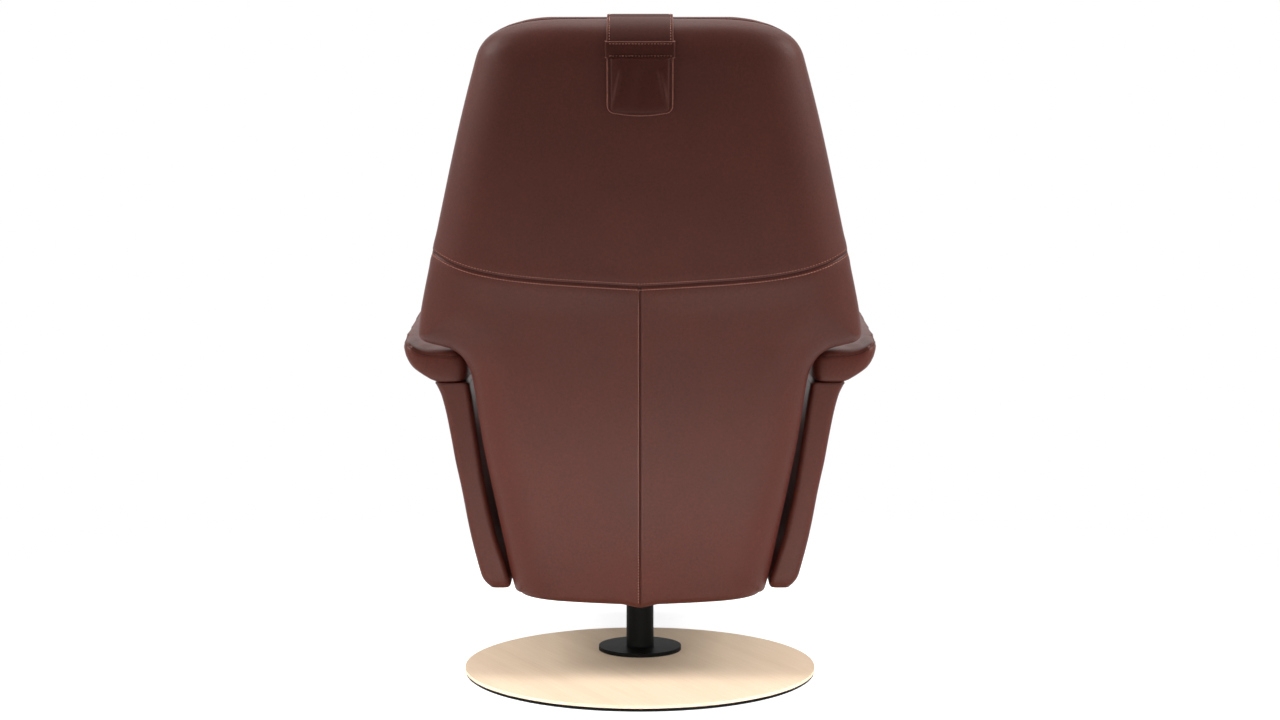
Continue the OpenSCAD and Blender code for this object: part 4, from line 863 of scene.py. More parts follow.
def seam_path(lift, offset=0.0, reach=0.999, count=400):
    """Places and normals along the cross seam, moved up or down by an offset."""
    share = np.linspace(-reach, reach, count)
    z = seam_z(share) + offset
    points, normals = shell_surface(share * half_w(z), z)
    return points + normals * lift, normals


def centre_path(lift, offset=0.0, count=160):
    """Places and normals along the centre seam."""
    z = np.linspace(BACK_LOW - HEM_POINT + HEM_ROUND, seam_z(0.0) - 1, count)
    points, normals = shell_surface(np.full(count, offset), z)
    return points + normals * lift, normals


def edge_path(lift, z_low=BACK_LOW + 12):
    """Line along the shell's rim, from one lower end over the top to the other."""
    half = BACK_OUTLINE[BACK_OUTLINE[:, 1] > z_low]
    y = rim_y(half[:, 1])
    right = np.stack([half[:, 0] + lift, y, half[:, 1]], -1)
    right[-1] = (0.0, rim_y(BACK_TOP), BACK_TOP + lift)
    top = np.linspace(0, 1, 30)[:, None]
    right = np.concatenate([right[:-2], mix(right[-2], right[-1], top)])
    left = right[::-1] * np.array([-1, 1, 1])
    return resample(np.concatenate([right, left[1:]]), 4)


def build_back_shell(stitches):
    shares = spread_shares((0, 0.003, 0.007, 0.012, 0.02, 0.035, 0.06), 56)
    both = np.concatenate([-shares[:0:-1], shares])
    near_seam = np.array([0, 0.7, 1.5, 2.5, 4, 6, 9, 13, 18])
    hem = np.array([0, 0.4, 1, 2, 3.5, 5.5, 8, 11])
    upper_rows = np.concatenate([
        near_seam[:-1] / UPPER_H, 0.042 + 0.958 * np.sin(np.linspace(0, np.pi / 2, 60))])
    lower_rows = np.concatenate([
        hem / LOWER_H, np.linspace(0.025, 0.58, 44), np.linspace(0.583, 0.80, 118),
        np.linspace(0.81, 0.96, 14), 1 - near_seam[::-1] / LOWER_SIDE_H,
    ])
    for name, across, rows, low, high in (
        ("upper", both, upper_rows, seam_z, top_z),
        ("lower_left", shares, lower_rows, low_z, seam_z),
        ("lower_right", -shares[::-1], lower_rows, low_z, seam_z),
    ):
        panel = cover(f"back_leather_{name}", across, rows, low, high)
        dress(panel, "leather", "back", f"back_cover_{name}")
    lines = [
        tube_object("seam_line", seam_path(-1.0)[0], 0.8, 6),
        tube_object("centre_line", centre_path(-1.2)[0], 0.8, 6),
    ]
    dress(join("back_seam_lines", lines), "seam", "back")
    rows = [(seam_path(0.1, offset), 0.75) for offset in stitches.rows] + [(centre_path(0.1, 2.6), 0.45)]
    threads = [
        stitch_object(f"row_{k}", line, normals, stitches.pitch, stitches.length, radius)
        for k, ((line, normals), radius) in enumerate(rows)
    ]
    dress(join("back_stitches", threads), "thread", "back")
    welt = tube_object("back_edge_welt", edge_path(-1.7), 1.7, 8)
    dress(welt, "leather_dark", "back")


# Cushions

def soft_box(half_x, half_y, power, count):
    """Points round a rectangle with soft corners."""
    turn = np.linspace(0, 2 * np.pi, count, endpoint=False)
    c, s = np.cos(turn), np.sin(turn)
    power = 2 / power
    return half_x * np.sign(c) * np.abs(c) ** power, half_y * np.sign(s) * np.abs(s) ** power


def cushion_ring_points(shares, half_x, half_y, power, count, inset_scale, thick):
    """Rings of a cushion: share of thickness, inset and crown, as points (across, along, up)."""
    rings = []
    for up, inset, crown in shares:
        x, y = soft_box(half_x - inset * inset_scale, half_y - inset * inset_scale, power, count)
        rings.append(np.stack([x, y, np.full(count, up * thick + crown)], -1))
    return np.array(rings)


def near_path(path, width):
    """Weights that hold the points of a piece along a sewn line."""
    tree = path_tree(path)

    def weights(points):
        return np.array([1.0 if tree.find(Vector(p))[2] < width else 0.0 for p in points])

    return weights


def held(path, width, backed):
    """Weights that hold a piece along its seams and where it is backed."""
    near = near_path(path, width)

    def weights(points):
        weight = near(points)
        weight[backed(points)] = 1.0
        return weight

    return weights


def keep_inside(piece, low, high):
    """Moves a piece's points inside a box."""
    set_vertices(piece.data, np.clip(vertex_array(piece.data), low, high))


def groove(piece, paths, depth, width):
    """Presses the seams of a piece in along paths."""
    for path in paths:
        line, _ = surface_path(piece, path)
        dent(piece, line, depth, width)


def piping(name, piece, path, body, radius, lift):
    """Round piping sewn along a closed line on a piece."""
    path, _ = surface_path(piece, path, lift)
    dress(tube_object(name, path, radius, 8, closed=True), "leather", body)


def seam_stitches(name, piece, lines, offset, body):
    """Two rows of stitches, one on each side of every line."""
    rows = []
    for line in lines:
        for side in (-1, 1):
            moved, normals = surface_path(piece, line + side * np.array(offset))
            rows.append(stitch_object("row", moved, normals))
    dress(join(name, rows), "thread", body)


def finish_soft(piece, node, body, colour="leather_soft"):
    shade_smooth(piece.data)
    dress(piece, colour, body, node)


SEAT_CROWN = 14
SEAT_ROLL = 118
SEAT_RINGS = (
    (0, 0.50, 0), (0, 0.12, 0), (0.08, 0.02, 0), (0.3, 0.045, 0), (0.5, 0.075, 0), (0.56, 0.08, 0),
    (0.7, 0.05, 0), (0.84, 0.03, 0), (0.93, 0.04, 0), (0.985, 0.10, 1), (1, 0.25, 5), (1, 0.5, 9),
    (1, 0.8, 11),
)


def build_seat_cushion():
    low, high = SEAT_BOX
    middle, half = (low + high) / 2, (high - low) / 2
    thick = high[2] - low[2] - SEAT_CROWN
    rings = cushion_ring_points(SEAT_RINGS, half[0] - 3, half[1] - 3, 7, 96, 130, thick)
    piece = loft_object("seat_cushion_leather", rings + (*middle[:2], low[2]))
    edge = np.stack(soft_box(half[0] - 8, half[1] - 8, 7, 240), -1)
    top_edge = np.column_stack([edge + middle[:2], np.full(len(edge), low[2] + thick - 6)])
    low_edge = np.column_stack([edge * 0.985 + middle[:2], np.full(len(edge), low[2] + 0.45 * thick)])
    across = np.column_stack([
        np.linspace(-half[0] + 10, half[0] - 10, 80), np.full(80, low[1] + SEAT_ROLL),
        np.full(80, high[2] - 3)])
    seams = np.concatenate([top_edge, low_edge, across])
    inflate(piece, held(seams, 7, lambda points: points[:, 2] < low[2] + 3), voxel=7, pressure=3.2, cap=14)
    keep_inside(piece, low - (4, 6, 0), high + (4, 0, 5))
    subdivide(piece)
    groove(piece, (top_edge, across), depth=2.4, width=4.5)
    finish_soft(piece, "seat_cushion", "seat")
    piping("seat_piping", piece, top_edge, "seat", radius=2.2, lift=0.6)
    line, _ = surface_path(piece, resample(across, 2.0))
    seam_stitches("seat_stitches", piece, [line], (0, STITCH_SIDE, 0), "seat")


LEG_SEAM_DROP = 20
LEG_RINGS = (
    (0, 0.5, 0), (0, 0.1, 0), (0.1, 0.02, 0), (0.3, 0.05, 0), (0.42, 0.06, 0), (0.6, 0.02, 0), (0.8, 0.05, 0),
    (0.92, 0.14, 0), (0.98, 0.3, 1), (1, 0.6, 2), (1, 1.0, 2.5),
)


def build_leg_rest():
    low, high = LEG_BOX
    middle, half = (low + high) / 2, (high - low) / 2
    thick = high[1] - low[1]
    rings = cushion_ring_points(LEG_RINGS, half[0] - 2, half[2] - 2, 7, 72, 70, thick - 3)
    points = np.stack([rings[..., 0], high[1] - rings[..., 2], middle[2] + rings[..., 1]], -1)
    piece = loft_object("leg_rest_leather", points)
    edge = np.stack(soft_box(half[0] - 4, half[2] - 4, 7, 240), -1)
    sewn_edge = np.column_stack([
        edge[:, 0], np.full(len(edge), high[1] - 0.42 * thick), edge[:, 1] + middle[2]])
    across = np.column_stack([
        np.linspace(-half[0] + 8, half[0] - 8, 80), np.full(80, low[1] + 1),
        np.full(80, middle[2] - LEG_SEAM_DROP)])
    seams = np.concatenate([sewn_edge, across])
    inflate(piece, held(seams, 6, lambda points: points[:, 1] > high[1] - 3), voxel=6, pressure=3.5, cap=10)
    keep_inside(piece, low - (3, 6, 3), high + (3, 0, 0))
    subdivide(piece)
    groove(piece, (sewn_edge, across), depth=1.8, width=3.6)
    finish_soft(piece, "leg_rest_pad", "leg_rest")
    piping("leg_rest_piping", piece, sewn_edge, "leg_rest", radius=1.8, lift=0.4)
    build_leg_wrap()


def build_leg_wrap():
    """Leather round the leg rest's board, turned in at both faces."""
    low, high = node_box("leg_rest_board")
    middle, half = (low + high) / 2, (high - low) / 2
    wide = rounded_box(half[0] + 1.6, half[2] + 1.6, 5, 160)
    narrow = rounded_box(half[0] + 0.4, half[2] + 0.4, 4, 160)
    rings = []
    for share, (across, up) in ((0, narrow), (0, wide), (0.5, wide), (1, wide), (1, narrow)):
        depth = np.full(len(across), mix(high[1], low[1], share))
        rings.append(np.stack([across, depth, middle[2] + up], -1))
    faces = grid_faces(len(rings), len(wide[0]), closed=True)
    sleeve = new_object("leg_rest_wrap", np.reshape(rings, (-1, 3)), faces)
    dress(sleeve, "leather_dark", "leg_rest")


NECK_T = 62
BACK_BAND_SHARES = (0.30, 0.62)
BACK_BAND_BOW = 16
NECK_RINGS = (
    (0, 0.45, 0), (0, 0.16, 1), (0.1, 0.05, 1), (0.28, 0.02, 1), (0.42, 0.05, 1), (0.5, 0.07, 1),
    (0.6, 0.06, 1), (0.76, 0.12, 1), (0.9, 0.28, 1), (0.97, 0.5, 1), (1, 0.78, 1),
)


def neck_frame():
    """Lean of the neck cushion, and its rear face on the centre line at its middle height."""
    low, high = NECK_BOX
    lean = (rim_y(high[2]) - rim_y(low[2])) / (high[2] - low[2])
    middle = (low[2] + high[2]) / 2
    return lean, middle, rim_y(middle) - thick_at(middle) - 3.6


def build_neck_cushion():
    low, high = NECK_BOX
    lean, middle, rear = neck_frame()
    half_x, half_h = (high[0] - low[0]) / 2, (high[2] - low[2]) / 2
    rings = []
    for up, inset, curve in NECK_RINGS:
        x, z = soft_box(half_x - 2 - inset * half_h, half_h - 2 - inset * half_h, 4, 80)
        y = rear + curve * front_curve(x) - up * (NECK_T - 3) + z * lean
        rings.append(np.stack([x, y, middle + z], -1))
    piece = loft_object("neck_cushion_leather", rings)
    x, z = soft_box(half_x - 5, half_h - 5, 4, 240)
    path = np.column_stack([x, rear + front_curve(x) - 0.46 * NECK_T + z * lean, middle + z])

    def backed(points):
        return points[:, 1] - (rear + (points[:, 2] - middle) * lean) > -2.5

    inflate(piece, held(path, 5, backed), voxel=5, pressure=3.5, cap=9)
    points = vertex_array(piece.data)
    tilt = (points[:, 2] - middle) * lean
    face = np.where(
        np.abs(points[:, 0]) < half_x - 0.3 * half_h, rear + tilt, rear + front_curve(points[:, 0]) + tilt)
    points[:, 1] = np.minimum(points[:, 1], face)
    set_vertices(piece.data, points)
    subdivide(piece)
    groove(piece, [path], depth=1.6, width=3.2)
    finish_soft(piece, "neck_cushion", "neck_rest")
    piping("neck_piping", piece, path, "neck_rest", radius=1.8, lift=0.5)


def clip_back_cushion(piece):
    """Keeps the back cushion inside its solid's front, sides and rounded top."""
    points = vertex_array(piece.data)
    height = np.maximum(np.minimum(points[:, 2], CUSHION_TOP - 0.5), CUSHION_LOW + 0.5)
    half = cushion_half(height)
    inside = np.clip(points[:, 0], -half + 0.2, half - 0.2)
    points[:, 1] = np.maximum(points[:, 1], cushion_front(inside, height) - 1.5)
    points[:, 1] = np.minimum(points[:, 1], rim_y(np.minimum(height, BACK_TOP)) - 0.3)
    points[:, 0] = np.clip(points[:, 0], -half - 1.5, half + 1.5)
    across = np.abs(points[:, 0])
    rim = BACK_OUTLINE[BACK_OUTLINE[:, 1] > BACK_TOP - TOP_CORNER[1] - 5][::-1]
    proud = TOP_PROUD * np.clip(1 - (across / rim[-1, 0]) ** 3, 0, 1) + 1
    ceiling = np.interp(across, rim[:, 0], rim[:, 1]) + proud
    points[:, 2] = np.clip(points[:, 2], CUSHION_LOW, np.minimum(CUSHION_TOP, ceiling))
    set_vertices(piece.data, points)


def build_back_cushion():
    ease = np.linspace(0, np.pi / 2, 20)
    rows = np.unique(np.concatenate([
        np.linspace(CUSHION_LOW, CUSHION_TOP, 90), CUSHION_TOP - 40 * (1 - np.sin(ease)),
        np.linspace(WING_CLEAR_Z - 20, WING_CLEAR_Z + 25, 24),
        CUSHION_LOW + 30 * (1 - np.cos(np.linspace(0, np.pi / 2, 12))),
    ]))
    shares = spread_shares((0, 0.02), 40)
    shares = np.concatenate([-shares[:0:-1], shares])
    z = np.repeat(rows[:, None], len(shares), 1)
    x = shares[None, :] * cushion_half(z)
    front = np.stack([x, cushion_front(x, z) + 3.0, z], -1)
    rear = np.stack([x, np.broadcast_to(rim_y(np.minimum(z, BACK_TOP)) - 0.3, x.shape), z], -1)
    piece = slab_object("back_cushion_leather", rear, front)
    bands = []
    for share in BACK_BAND_SHARES:
        across = np.linspace(-1, 1, 121)
        bow = mix(CUSHION_LOW, CUSHION_TOP, share) - BACK_BAND_BOW * (1 - across ** 2)
        wide = across * (cushion_half(bow) - 3)
        bands.append(np.stack([wide, cushion_front(wide, bow), bow], -1))
    half, height = CUSHION_OUTLINE[1:-1].T
    border = np.stack([half, rim_y(np.minimum(height, BACK_TOP)) - EDGE_T * 0.5, height], -1)
    border = resample(np.concatenate([border, (border * (-1, 1, 1))[::-1]]), 3)

    def backed(points):
        return points[:, 1] > rim_y(np.minimum(points[:, 2], BACK_TOP)) - 8

    inflate(piece, held(np.concatenate(bands + [border]), 6, backed), voxel=8, pressure=3.0, cap=22)
    clip_back_cushion(piece)
    subdivide(piece)
    groove(piece, bands, depth=3.0, width=5.5)
    finish_soft(piece, "back_cushion", "back", colour="leather_lit")
    lines = [resample(band, 3) for band in bands]
    seam_stitches("back_cushion_stitches", piece, lines, (0, 0, STITCH_SIDE), "back")


# Neck rest's strap, loop and flap

GAP = 0.3
STRAP_T = 2.5
STRAP_END_Z = BACK_LOW + 0.86 * BACK_H
LOOP_LOW = BACK_LOW + 0.9368 * BACK_H
LOOP_H = 26
LOOP_R = 3.0
EDGE_FOLD = 1.3
FLAP_T = 12
FLAP_CORNER_R = 12
FLAP_SAG = 4
FLAP_MARGIN_T = 3.6
TAIL_UP = 22
NECK_TRAVEL = 60
FLAP_H = 92
SLIDE_H = FLAP_H + NECK_TRAVEL
SLIDE_LEAN = math.atan((rear_y(LOOP_LOW) - rear_y(LOOP_LOW - SLIDE_H)) / SLIDE_H)


def strap_line(off, steps=60):
    """Places (y, z) of the strap's surface on the centre line, at a height above the back."""
    eased = 1 - (1 - np.linspace(0, 1, steps)) ** 2
    front = mix(STRAP_END_Z, CUSHION_TOP - GAP, eased)
    y, y_next = (cushion_front(0.0, np.minimum(z, CUSHION_TOP - 0.01)) for z in (front, front + 0.1))
    normal = unit_rows(np.stack([np.full(steps, -0.1), y_next - y], -1))
    normal[-1] = unit_rows(np.array([-0.35, 1.0]))
    ahead = np.stack([y, front], -1) + off * normal
    rear = mix(STRAP_END_Z, BACK_TOP - GAP, eased)[::-1]
    places, normals = shell_surface(0.0, rear)
    normals[:, 1:] = unit_rows(normals[:, 1:])
    behind = places[:, 1:] + off * normals[:, 1:]
    top = [[rim_y(BACK_TOP) - EDGE_T, CUSHION_TOP + off], [rim_y(BACK_TOP), CUSHION_TOP + off]]
    return np.concatenate([ahead, top, behind])


def slide_places(across, out, up):
    """Points on the straight part of the back where the flap slides."""
    across, out, up = np.broadcast_arrays(across, out, up)
    c, s = math.cos(SLIDE_LEAN), math.sin(SLIDE_LEAN)
    return np.stack([across, rear_y(LOOP_LOW) + out * c + up * s, LOOP_LOW - out * s + up * c], -1)


def stitched_band(name, lines, place, stitches):
    """Rows of stitches along lines of a band, from a function that places them."""
    rows = []
    for k, line in enumerate(lines):
        path, normals = place(line)
        rows.append(stitch_object(f"{name}_{k}", path, normals, stitches.pitch, stitches.length, 0.6))
    dress(join(name, rows), "thread", "back")


def cut_edges_and_highlights(name, paths, body, radius=0.7):
    """Lighter lines along the edges of leather: partly the raw cut edge's own lighter colour, partly a
    painted highlight.
    """
    edge = join(name, [tube_object(f"{name}_{k}", path, radius, 6) for k, path in enumerate(paths)])
    dress(edge, "leather_edge", body)


def band_height(inside, seam_at, seam_depth, seam_w, rise, rise_w):
    """Relief of a stitched band at a distance inside its edge: folded edge, seam and soft middle."""
    drop = EDGE_FOLD * roll(inside, EDGE_FOLD) + seam_depth * np.exp(-((inside - seam_at) / seam_w) ** 2)
    return rise * np.sin(np.clip(inside / rise_w, 0, 1) * np.pi / 2) - drop


def away_from(line, way):
    """Directions square to a flat line, on the side that other directions point to."""
    along = unit_rows(np.gradient(line, axis=0))
    away = np.stack([-along[:, 1], along[:, 0]], -1)
    return away * np.sign((away * way).sum(1, keepdims=True))


def build_neck_strap(stitches):
    half = STRAP_BOX[1][0]
    inner, outer = strap_line(GAP), strap_line(GAP + STRAP_T)
    inner = resample(np.column_stack([np.zeros(len(inner)), inner]), 4)[:, 1:]
    outer = np.array([outer[np.argmin(((outer - p) ** 2).sum(1))] for p in inner])
    away = away_from(inner, outer - inner)
    across = half * np.sin(np.linspace(-np.pi / 2, np.pi / 2, 49))
    height = STRAP_T + band_height(
        half - np.abs(across), seam_at=3.6, seam_depth=0.55, seam_w=1.1, rise=0.35, rise_w=12)
    shape = (len(inner), len(across), 1)
    wide = np.broadcast_to(across[None, :, None], shape)
    upper = np.concatenate([wide, inner[:, None, :] + away[:, None, :] * height[None, :, None]], -1)
    lower = np.concatenate([wide, np.broadcast_to(inner[:, None, :], (*shape[:2], 2))], -1)
    piece = slab_object("neck_strap_leather", upper, lower)
    dress(piece, "leather_matt", "back", "neck_strap")

    def place(x, lift=STRAP_T):
        path = np.column_stack([np.full(len(inner), x), inner + away * lift])
        return path, np.column_stack([np.zeros(len(inner)), away])

    sides = [place(side * (half - 0.3), STRAP_T - 0.9)[0] for side in (-1, 1)]
    cut_edges_and_highlights("neck_strap_edges", sides, "back")
    stitched_band("neck_strap_stitches", (-half + 3.6, half - 3.6), place, stitches)


def build_strap_loop(stitches):
    half = LOOP_BOX[1][0]
    top = 3 * GAP + 3 * STRAP_T
    arc = np.linspace(0, np.pi / 2, 9)
    bend = np.stack([half - LOOP_R + LOOP_R * np.cos(arc), top - LOOP_R + LOOP_R * np.sin(arc)], -1)
    flat = np.linspace(half - LOOP_R - 1, 0, 30)
    right = np.concatenate([[[half, GAP]], bend, np.column_stack([flat, np.full(30, top)])])
    outer = np.concatenate([right, (right * (-1, 1))[-2::-1]])
    away = away_from(outer, outer - (0, GAP))
    up = LOOP_H / 2 * (1 + np.sin(np.linspace(-np.pi / 2, np.pi / 2, 25)))
    height = band_height(
        np.minimum(up, LOOP_H - up), seam_at=3.4, seam_depth=0.5, seam_w=1.0, rise=0.3, rise_w=9)
    shell = outer[:, None] + away[:, None] * height[None, :, None]
    core = np.broadcast_to((outer - away * STRAP_T)[:, None], shell.shape)
    core_x = np.clip(core[..., 0], -half + STRAP_T, half - STRAP_T)
    piece = slab_object(
        "strap_loop_leather", slide_places(shell[..., 0], shell[..., 1], up[None, :]),
        slide_places(core_x, np.maximum(core[..., 1], GAP), up[None, :]))
    dress(piece, "leather_dark", "back", "strap_loop")

    def place(z):
        path = slide_places(np.linspace(-half + 4, half - 4, 60), top, z)
        return path, np.tile([0.0, math.cos(SLIDE_LEAN), -math.sin(SLIDE_LEAN)], (60, 1))

    rims = [slide_places(outer[:, 0] * (1 - 0.5 / half), outer[:, 1] - 0.6, z) for z in (0.5, LOOP_H - 0.5)]
    cut_edges_and_highlights("strap_loop_edges", rims, "back")
    stitched_band("strap_loop_stitches", (3.4, LOOP_H - 3.4), place, stitches)


def flap_low(across, half):
    """How far the flap hangs below the loop at a place across it."""
    over = np.clip((np.abs(across) - half + FLAP_CORNER_R) / FLAP_CORNER_R, 0, 1)
    return FLAP_H - FLAP_SAG * (across / half) ** 2 - FLAP_CORNER_R * (1 - np.sqrt(1 - over ** 2))


def flap_outline(half, inset):
    """Line just inside the flap's free edge, from one upper corner to the other."""
    side = half - inset
    turn = np.linspace(0, np.pi / 2, 12)
    radius = FLAP_CORNER_R - inset
    low = FLAP_H - FLAP_SAG - inset
    arc = np.stack([side - radius + radius * np.cos(turn), -(low - radius + radius * np.sin(turn))], -1)
    right = np.concatenate([[[side, -1.0]], arc])
    bottom = np.linspace(side - radius, 0, 20)
    sag = FLAP_SAG * (1 - (bottom / (side - radius)) ** 2)
    right = np.concatenate([right, np.stack([bottom, -(low + sag)], -1)[1:]])
    line = np.concatenate([right, (right * (-1, 1))[-2::-1]])
    return resample(np.column_stack([line, np.zeros(len(line))]), 2.0)[:, :2]


def flap_thickness(across, up, inside, half):
    """Thickness of the flap: a soft pillow with folds, inside a flat stitched margin."""
    pillow = np.sqrt(np.maximum(0, 1 - (1 - np.clip(inside / 20, 0, 1)) ** 2))
    thick = FLAP_MARGIN_T + (FLAP_T - STRAP_T - FLAP_MARGIN_T) * pillow
    thick -= 1.5 * np.exp(-((inside - 5.4) / 1.1) ** 2)
    ripple = np.sin(across / 9.5 + up / 60) * 1.3 + np.sin(across / 4.6 + up / 25) * 0.35
    fall = -up / FLAP_H
    for side, width in ((-1, 3.4), (1, 2.6)):
        crest = side * half * (0.5 + 0.4 * fall)
        fold = np.exp(-((across - crest) / width) ** 2)
        ripple = ripple + 1.9 * fold * np.clip(fall * 6 - 0.6, 0, 1) * np.clip((0.86 - fall) * 5, 0, 1)
    thick = thick + ripple * pillow * np.clip(-up / 20, 0, 1)
    return np.where(inside < 3.5, FLAP_MARGIN_T - 2.5 * roll(inside, 2.5) * 0.8, thick)


def build_strap_flap():
    half = FLAP_BOX[1][0]
    base = 2 * GAP + 2 * STRAP_T
    across = half * np.sin(np.linspace(-np.pi / 2, np.pi / 2, 97))[None, :]
    down = np.linspace(0, 1, 90)
    down = down + 0.08 * np.sin(2 * np.pi * down) / (2 * np.pi)
    up = -down[:, None] * flap_low(across, half)
    inside = np.minimum(half - np.abs(across), up + flap_low(across, half))
    thick = flap_thickness(across, up, inside, half)
    pouch = slab_object(
        "flap_pouch", slide_places(across, base + thick, up), slide_places(across, base, up))
    rise = np.linspace(-FLAP_H / 2, TAIL_UP, 30)[:, None]
    tail = slab_object(
        "flap_tail", slide_places(across, base - 0.05, rise), slide_places(across, base - STRAP_T, rise))
    piece = join("strap_flap_leather", [pouch, tail])
    dress(piece, "leather_dark", "flap", "strap_flap")

    def rim(inset, out):
        line = flap_outline(half, inset)
        return slide_places(line[:, 0], base + out, line[:, 1])

    dress(tube_object("flap_piping", rim(2.4, 2.4), 2.2, 10), "leather", "flap")
    cut_edges_and_highlights("flap_edge", [rim(0.7, 3.6)], "flap", 0.8)
    dress(tube_object("flap_seam", rim(5.6, 2.9), 0.8, 6), "seam", "flap")


# Arms

PAD_SHARES = (
    (0.02, 0), (-0.01, 0.22), (-0.02, 0.48), (0.03, 0.70), (0.13, 0.785), (0.28, 0.795), (0.45, 0.785),
    (0.62, 0.785), (0.78, 0.83), (0.91, 0.94), (0.985, 1.0), (1.0, 0.8), (0.955, 0.55), (0.866, 0.34),
    (0.7, 0.17), (0.56, 0.05), (0.47, 0),
)
PAD_END_SHARES = (
    (0, 0.7), (0.006, 0.83), (0.016, 0.93), (0.035, 0.985), (0.08, 1), (0.35, 1), (0.6, 1), (0.85, 1),
    (0.95, 0.99), (0.98, 0.94), (0.992, 0.85), (1, 0.7),
)
PANEL_OUTER_SHARES = (
    (0, 0.7566), (0.0636, 0.7874), (0.3066, 0.8416), (0.5785, 0.8959), (0.7347, 0.9229), (0.9343, 0.9707),
    (1, 1),
)
PANEL_INNER_SHARES = (
    (0, 0.6276), (0.1388, 0.6716), (0.243, 0.7053), (0.4339, 0.7478), (0.5496, 0.7683), (0.7608, 0.7977),
    (0.9199, 0.8182), (1, 0.8328),
)
ARM_TOP = PANEL_BOX[1][2]
PANEL_LOW = PANEL_BOX[0][2]
PANEL_HALF_W = PANEL_BOX[1][0]
ARM_REAR = PAD_BOX[1][1]
ARM_FRONT = PAD_BOX[0][1]
ARM_PAD_W = 108
ARM_FLARE = 21
ARM_FALL = 8
PAD_IN = 286
PANEL_REAR_DROP = 12
PANEL_FRONT_DROP = 40
PANEL_ROUND = 11
PANEL_SIDES = 160
PANEL_HALF_SIZE = (20.0, 200.0)
BOARD_T = 12
BOARD_LEAN = math.radians(11.5)
BOARD_LOW_X = 0.7155 * PANEL_HALF_W
ARM_RAIL_T = 5
POCKET_GAP = 0.4


def pad_profile(count):
    """Outline of the arm pad across its width, as shares, evenly spaced on a smooth curve."""
    points = np.array(PAD_SHARES)
    keys = reach_along(points, (ARM_PAD_W, ARM_PAD_T))
    places = np.linspace(0, keys[-1], count)
    return np.stack([smooth(np.stack([keys, points[:, k]], -1), places) for k in (0, 1)], -1)


def pad_point(share, size_share, end):
    """Point of the arm pad from shares of its width and thickness, at a share of its length."""
    size = smooth(PAD_END_SHARES, end)
    y = mix(ARM_FRONT, ARM_REAR, end)
    wide = ARM_PAD_W + ARM_FLARE * (1 - end)
    rise = ARM_FALL * (1 - end)
    low = ARM_TOP + GAP
    mid_x = PAD_IN + wide / 2
    x, z = PAD_IN + share * wide, low + size_share * (ARM_PAD_T + rise)
    up = low + (z - low) * (1 + size) / 2
    return np.stack(np.broadcast_arrays(mid_x + (x - mid_x) * size, y, up), -1)


def pad_seam():
    """Line of the seam round the pad's top panel: along both sides and round both ends."""
    run = np.linspace(0.03, 0.97, 160)
    outer = pad_point(0.995, 0.93, run)
    inner = pad_point(0.005, 0.68, run)[::-1]
    across = np.linspace(0.97, 0.06, 40)
    rear = pad_point(across, 0.72 + 0.2 * across ** 4, 0.9985)
    front = pad_point(across[::-1], 0.72 + 0.2 * across[::-1] ** 4, 0.0015)
    return resample(np.concatenate([outer, rear, inner, front, outer[:1]]), 2.5)


def pucker(piece, path, depth, pitch, width):
    """Small gathers along a sewn line, on the side below it."""
    tree, reach = path_tree(path), reach_along(path)
    rng = np.random.default_rng(3)
    knots = np.cumsum(rng.uniform(0.7, 1.5, 1 + int(reach[-1] / pitch * 1.6))) * pitch
    phase = np.interp(reach, np.concatenate([[0], knots]), np.arange(len(knots) + 1)) * 2 * np.pi
    strength = np.interp(reach, knots, rng.uniform(0.2, 1.0, len(knots)))
    points, normals = vertex_array(piece.data), read_vectors(piece.data, "normal")
    for i, place in enumerate(points):
        _, nearest, distance = tree.find(Vector(place))
        if distance > 3 * width or place[2] > path[nearest][2] + 2:
            continue
        fade = math.exp(-(distance / width) ** 2) * (1 - math.exp(-(distance / 2.0) ** 2) * 0.5)
        points[i] += normals[i] * depth * strength[nearest] * math.sin(phase[nearest]) * fade
    set_vertices(piece.data, points)


def build_arm_pad():
    ends = np.concatenate([
        0.14 * (1 - np.cos(np.linspace(0, np.pi / 2, 16))), np.linspace(0.15, 0.84, 60),
        1 - 0.15 * (1 - np.sin(np.linspace(0, np.pi / 2, 18)))])
    profile = pad_profile(84)
    rings = np.array([pad_point(profile[:, 0], profile[:, 1], end) for end in ends])
    piece = loft_object("arm_pad_left_leather", rings)
    seam = pad_seam()
    inflate(piece, held(seam, 6, lambda points: points[:, 2] < ARM_TOP + 4), voxel=6, pressure=3.0, cap=3.5)
    subdivide(piece)
    points = vertex_array(piece.data)
    points[:, 0] = np.maximum(points[:, 0], PAD_BOX[0][0] - 0.2)
    points[:, 1] = np.minimum(points[:, 1], ARM_REAR + 1)
    points[:, 2] = np.maximum(points[:, 2], ARM_TOP + GAP)
    set_vertices(piece.data, points)
    line, _ = surface_path(piece, seam)
    dent(piece, line, depth=1.5, width=2.8)
    pucker(piece, line, depth=0.5, pitch=10.0, width=12)
    finish_soft(piece, "arm_pad_left", "seat")
    line, normals = surface_path(piece, seam)
    welt = tube_object("arm_pad_seam_left", line - normals * 0.2, 0.9, 6, closed=True)
    dress(welt, "seam", "seat")
    twin = mirrored_copy(piece, "arm_pad_right_leather")
    points = vertex_array(twin.data)
    low, high = np.array(SWITCH_BOX)
    near = ((points > low - 6) & (points < high + 6))[:, 1:].all(1) & (points[:, 0] > -PAD_IN - 30)
    points[near, 0] = np.minimum(points[near, 0], low[0] - 0.4)
    set_vertices(twin.data, points)
    finish_soft(twin, "arm_pad_right", "seat")
    dress(mirrored_copy(welt, "arm_pad_seam_right"), "seam", "seat")


